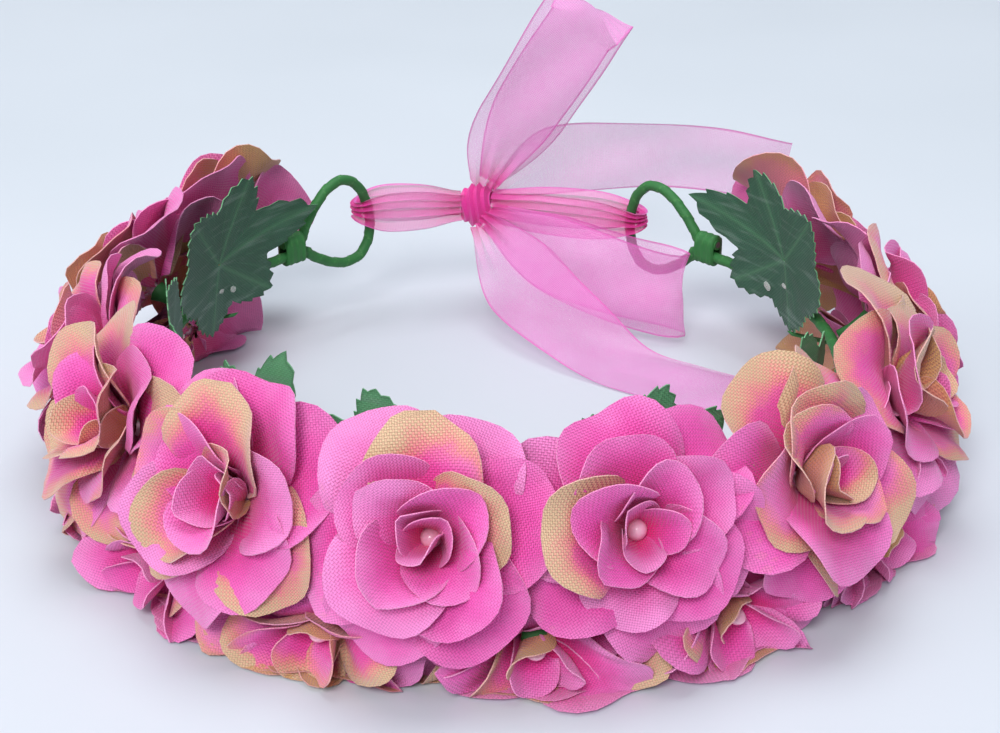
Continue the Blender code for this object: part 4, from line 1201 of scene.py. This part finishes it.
def make_glue():
    """Blobs of glue where the leaves meet the taped hoop, two by each leaf."""
    dice = random.Random(7)
    bm = bmesh.new()
    for leaf in LEAVES:
        azimuth, layer = leaf[1], leaf[-1]
        for spot in range(2):
            turn = azimuth + dice.uniform(-9, 9)
            out, along = around(turn)
            reach = HOOP_RADIUS - TAPE_RADIUS - 0.0018 - LAYER_STEP * layer
            height = HOOP_HEIGHT + dice.uniform(-0.001, 0.006)
            middle = CENTRE + reach * out + Vector((0, 0, height))
            size = dice.uniform(0.0006, 0.0012)
            made = bmesh.ops.create_icosphere(bm, subdivisions=3, radius=size)["verts"]
            stretch = dice.uniform(1.2, 2.4)
            for vert in made:
                co = vert.co.copy()
                wobble = 1 + 0.15 * math.sin(co.x * 2600 + spot) * math.sin(co.z * 1900)
                vert.co = middle + (along * co.x * stretch + out * co.y * 0.30 + Vector((0, 0, co.z))) * wobble
    mesh = bpy.data.meshes.new("hot_melt_blobs")
    bm.to_mesh(mesh)
    bm.free()
    mesh.shade_smooth()
    add_piece(mesh, "crown", ("glue",), "leaves")


# ---------------------------------------------------------------- stage


def make_stage():
    bm = bmesh.new()
    bmesh.ops.create_grid(bm, x_segments=1, y_segments=1, size=TABLE_HALF)
    mesh = bpy.data.meshes.new("table_top")
    bm.to_mesh(mesh)
    bm.free()
    mesh.materials.append(finish_of("table"))
    table = bpy.data.objects.new("table_top", mesh)
    bpy.context.scene.collection.objects.link(table)
    world = bpy.data.worlds.new("studio")
    world.use_nodes = True
    background = world.node_tree.nodes["Background"]
    background.inputs[0].default_value = to_linear("EAF1FA")
    background.inputs[1].default_value = 0.47
    bpy.context.scene.world = world
    lights = (
        # name, place, width in metres, watts, tint
        ("overhead", (0.0, 0.15, 1.25), 0.9, 8.0, "F8FBFF"),
        ("front_fill", (-0.5, -2.0, 1.95), 1.1, 45.0, "FFFAFC"),
        ("side_fill", (-2.4, -0.6, 1.35), 2.0, 16.0, "FFFFFF"),
    )
    for name, place, size, power, tint in lights:
        light = bpy.data.lights.new(name, "AREA")
        light.shape = "DISK"
        light.size = size
        light.energy = power
        light.color = to_linear(tint)[:3]
        obj = bpy.data.objects.new(name, light)
        obj.location = place
        obj.rotation_euler = (Vector((0, 0, 0.02)) - Vector(place)).to_track_quat("-Z", "Y").to_euler()
        bpy.context.scene.collection.objects.link(obj)
    camera = bpy.data.cameras.new("camera")
    camera.lens = VIEW_LENS
    camera.sensor_width = 36
    camera.clip_start = 0.01
    obj = bpy.data.objects.new("camera", camera)
    target = CENTRE + VIEW_TARGET
    down = math.radians(VIEW_DOWN)
    obj.location = target + VIEW_DISTANCE * Vector((0, -math.cos(down), math.sin(down)))
    obj.rotation_euler = (target - obj.location).to_track_quat("-Z", "Y").to_euler()
    bpy.context.scene.collection.objects.link(obj)
    bpy.context.scene.camera = obj
    bpy.context.scene.view_settings.view_transform = "Standard"


# ---------------------------------------------------------------- add-on


def colour_property(name, code, description):
    return FloatVectorProperty(name=name, description=description, subtype="COLOR", size=3, min=0, max=1,
                               default=to_linear(code)[:3])


class CrownCloth(bpy.types.PropertyGroup):
    thickness: FloatProperty(name="Cloth thickness", description="Thickness of the petal cloth", default=0.00025,
                             min=0.0001, max=0.001, unit="LENGTH", precision=5)
    thread_pitch: FloatProperty(name="Thread spacing",
                                description="Distance from thread to thread in petals and leaves", default=0.00052,
                                min=0.0002, max=0.002, unit="LENGTH", precision=5)
    petal_pink: colour_property("Petal pink", "EA50AE", "The petals' main dye")
    # Painted shade: the deep magenta near a petal's foot is shade painted into the colour.
    throat_shade_pink: colour_property("Throat pink", "E01E7A", "The dye near a petal's foot")
    # Painted highlight: the paler pink over a petal's outer reach is light painted into the colour.
    edge_highlight_pink: colour_property("Edge pink", "F29CD6", "The paler dye at a petal's edge")
    dip_tan: colour_property("Dip tan", "DAB998", "The dip dye on some petal edges")
    dip_olive: colour_property("Dip olive", "CEB588", "The greener patches of the dip dye")
    # Painted light: the leaves' outer face, one green cloth shown lit.
    leaf_lit_green: colour_property("Leaf green", "76B788", "The leaves' outer face")
    # Painted shade: the leaves' inner face, the same green cloth shown shaded.
    leaf_shaded_green: colour_property("Leaf dark green", "31634A", "The leaves' inner face")
    organza_pink: colour_property("Organza pink", "FF6CD6", "The open ribbon")
    gather_pink: colour_property("Gathered pink", "F02BA2", "The ribbon where it is bunched")
    organza_cover: FloatProperty(name="Organza cover", description="Share of the light that one open layer stops",
                                 default=0.38, min=0.1, max=1.0, subtype="FACTOR")


class CrownRoses(bpy.types.PropertyGroup):
    outer_petals: IntProperty(name="Outer petals", description="Petals in the outer whorl", default=6, min=3, max=9)
    middle_petals: IntProperty(name="Middle petals", description="Petals in the middle whorl", default=5, min=3,
                               max=9)
    inner_petals: IntProperty(name="Inner petals", description="Upright petals round the bead", default=4, min=2,
                              max=7)


class CrownHoop(bpy.types.PropertyGroup):
    winding_pitch: FloatProperty(name="Winding pitch", description="Distance from turn to turn of the tape",
                                 default=0.0055, min=0.002, max=0.02, unit="LENGTH", precision=4)
    overlap_height: FloatProperty(name="Overlap height", description="How far each turn's edge stands proud",
                                  default=0.0002, min=0.0, max=0.001, unit="LENGTH", precision=5)


class CrownRibbon(bpy.types.PropertyGroup):
    gathered_width: FloatProperty(name="Gathered width", description="Width of the ribbon at the knot",
                                  default=0.008, min=0.003, max=0.025, unit="LENGTH", precision=4)
    gather_length: FloatProperty(name="Gather length", description="How far from the knot the ribbon is fully open",
                                 default=0.026, min=0.005, max=0.08, unit="LENGTH", precision=4)


class CROWN_OT_upper_roses(bpy.types.Operator):
    """Make the eleven roses of the upper row"""
    bl_idname = "crown.upper_roses"
    bl_label = "Upper roses"

    def execute(self, context):
        make_roses(lower=False)
        return {"FINISHED"}


class CROWN_OT_lower_roses(bpy.types.Operator):
    """Make the ten roses that rest on the table"""
    bl_idname = "crown.lower_roses"
    bl_label = "Lower roses"

    def execute(self, context):
        make_roses(lower=True)
        return {"FINISHED"}


class CROWN_OT_leaves(bpy.types.Operator):
    """Make the leaves inside the hoop"""
    bl_idname = "crown.leaves"
    bl_label = "Leaves"

    def execute(self, context):
        dice = random.Random(5)
        for leaf in LEAVES:
            make_leaf(*leaf, dice)
        return {"FINISHED"}


class CROWN_OT_hoop(bpy.types.Operator):
    """Wind the tape on the wire hoop and bind its eyelets"""
    bl_idname = "crown.hoop"
    bl_label = "Taped hoop"

    def execute(self, context):
        make_taped_hoop()
        return {"FINISHED"}


class CROWN_OT_glue(bpy.types.Operator):
    """Set the glue that holds leaves to the hoop"""
    bl_idname = "crown.glue"
    bl_label = "Glue"

    def execute(self, context):
        make_glue()
        return {"FINISHED"}


class CROWN_OT_bow(bpy.types.Operator):
    """Tie the organza bow: knot, ties, loops and tails"""
    bl_idname = "crown.bow"
    bl_label = "Bow"

    def execute(self, context):
        dice = random.Random(11)
        make_tie("left", dice)
        make_tie("right", dice)
        make_knot()
        make_band("bow_loop_upper_cloth", "upper_loop", "bow_loop_upper", UPPER_LOOP_ROUTE,
                  ((0.80, 0.25, -0.55),) * len(UPPER_LOOP_ROUTE), True, 0.92, dice)
        make_band("bow_loop_lower_cloth", "lower_loop", "bow_loop_lower", LOWER_LOOP_ROUTE,
                  ((0.0, 0.12, 1.0),) * len(LOWER_LOOP_ROUTE), True, 0.55, dice)
        make_band("ribbon_tail_front_cloth", "front_tail", "ribbon_tail_front", front_tail_route(), FRONT_TAIL_ACROSS,
                  False, 0.55, dice)
        make_band("ribbon_tail_back_cloth", "back_tail", "ribbon_tail_back", BACK_TAIL_ROUTE,
                  ((0.0, -0.30, 0.95),) * len(BACK_TAIL_ROUTE), False, 0.55, dice)
        return {"FINISHED"}


class CROWN_OT_stage(bpy.types.Operator):
    """Set the table, the lights and the camera"""
    bl_idname = "crown.stage"
    bl_label = "Stage"

    def execute(self, context):
        make_stage()
        return {"FINISHED"}


OPERATORS = (CROWN_OT_hoop, CROWN_OT_leaves, CROWN_OT_upper_roses, CROWN_OT_lower_roses, CROWN_OT_glue, CROWN_OT_bow,
             CROWN_OT_stage)
GROUPS = {"crown_cloth": CrownCloth, "crown_roses": CrownRoses, "crown_hoop": CrownHoop, "crown_ribbon": CrownRibbon}


class CROWN_PT_panel(bpy.types.Panel):
    """Sizes and colours of the crown, and a button for each group of its pieces"""
    bl_idname = "CROWN_PT_panel"
    bl_label = "Flower crown"
    bl_space_type = "VIEW_3D"
    bl_region_type = "UI"
    bl_category = "Flower crown"

    def draw(self, context):
        for key, group in GROUPS.items():
            box = self.layout.box()
            for name in group.__annotations__:
                box.prop(getattr(context.scene, key), name)
        for operator in OPERATORS:
            self.layout.operator(operator.bl_idname)


def register():
    for cls in (*GROUPS.values(), *OPERATORS, CROWN_PT_panel):
        bpy.utils.register_class(cls)
    for key, group in GROUPS.items():
        setattr(bpy.types.Scene, key, PointerProperty(type=group))


def unregister():
    for key in GROUPS:
        delattr(bpy.types.Scene, key)
    for cls in (CROWN_PT_panel, *OPERATORS[::-1], *list(GROUPS.values())[::-1]):
        bpy.utils.unregister_class(cls)


def main():
    register()
    for name in ("Cube", "Light", "Camera"):
        if name in bpy.data.objects:
            bpy.data.objects.remove(bpy.data.objects[name])
    bpy.ops.crown.hoop()
    bpy.ops.crown.leaves()
    bpy.ops.crown.upper_roses()
    bpy.ops.crown.lower_roses()
    bpy.ops.crown.glue()
    bpy.ops.crown.bow()
    bpy.ops.crown.stage()


if __name__ == "__main__":
    main()
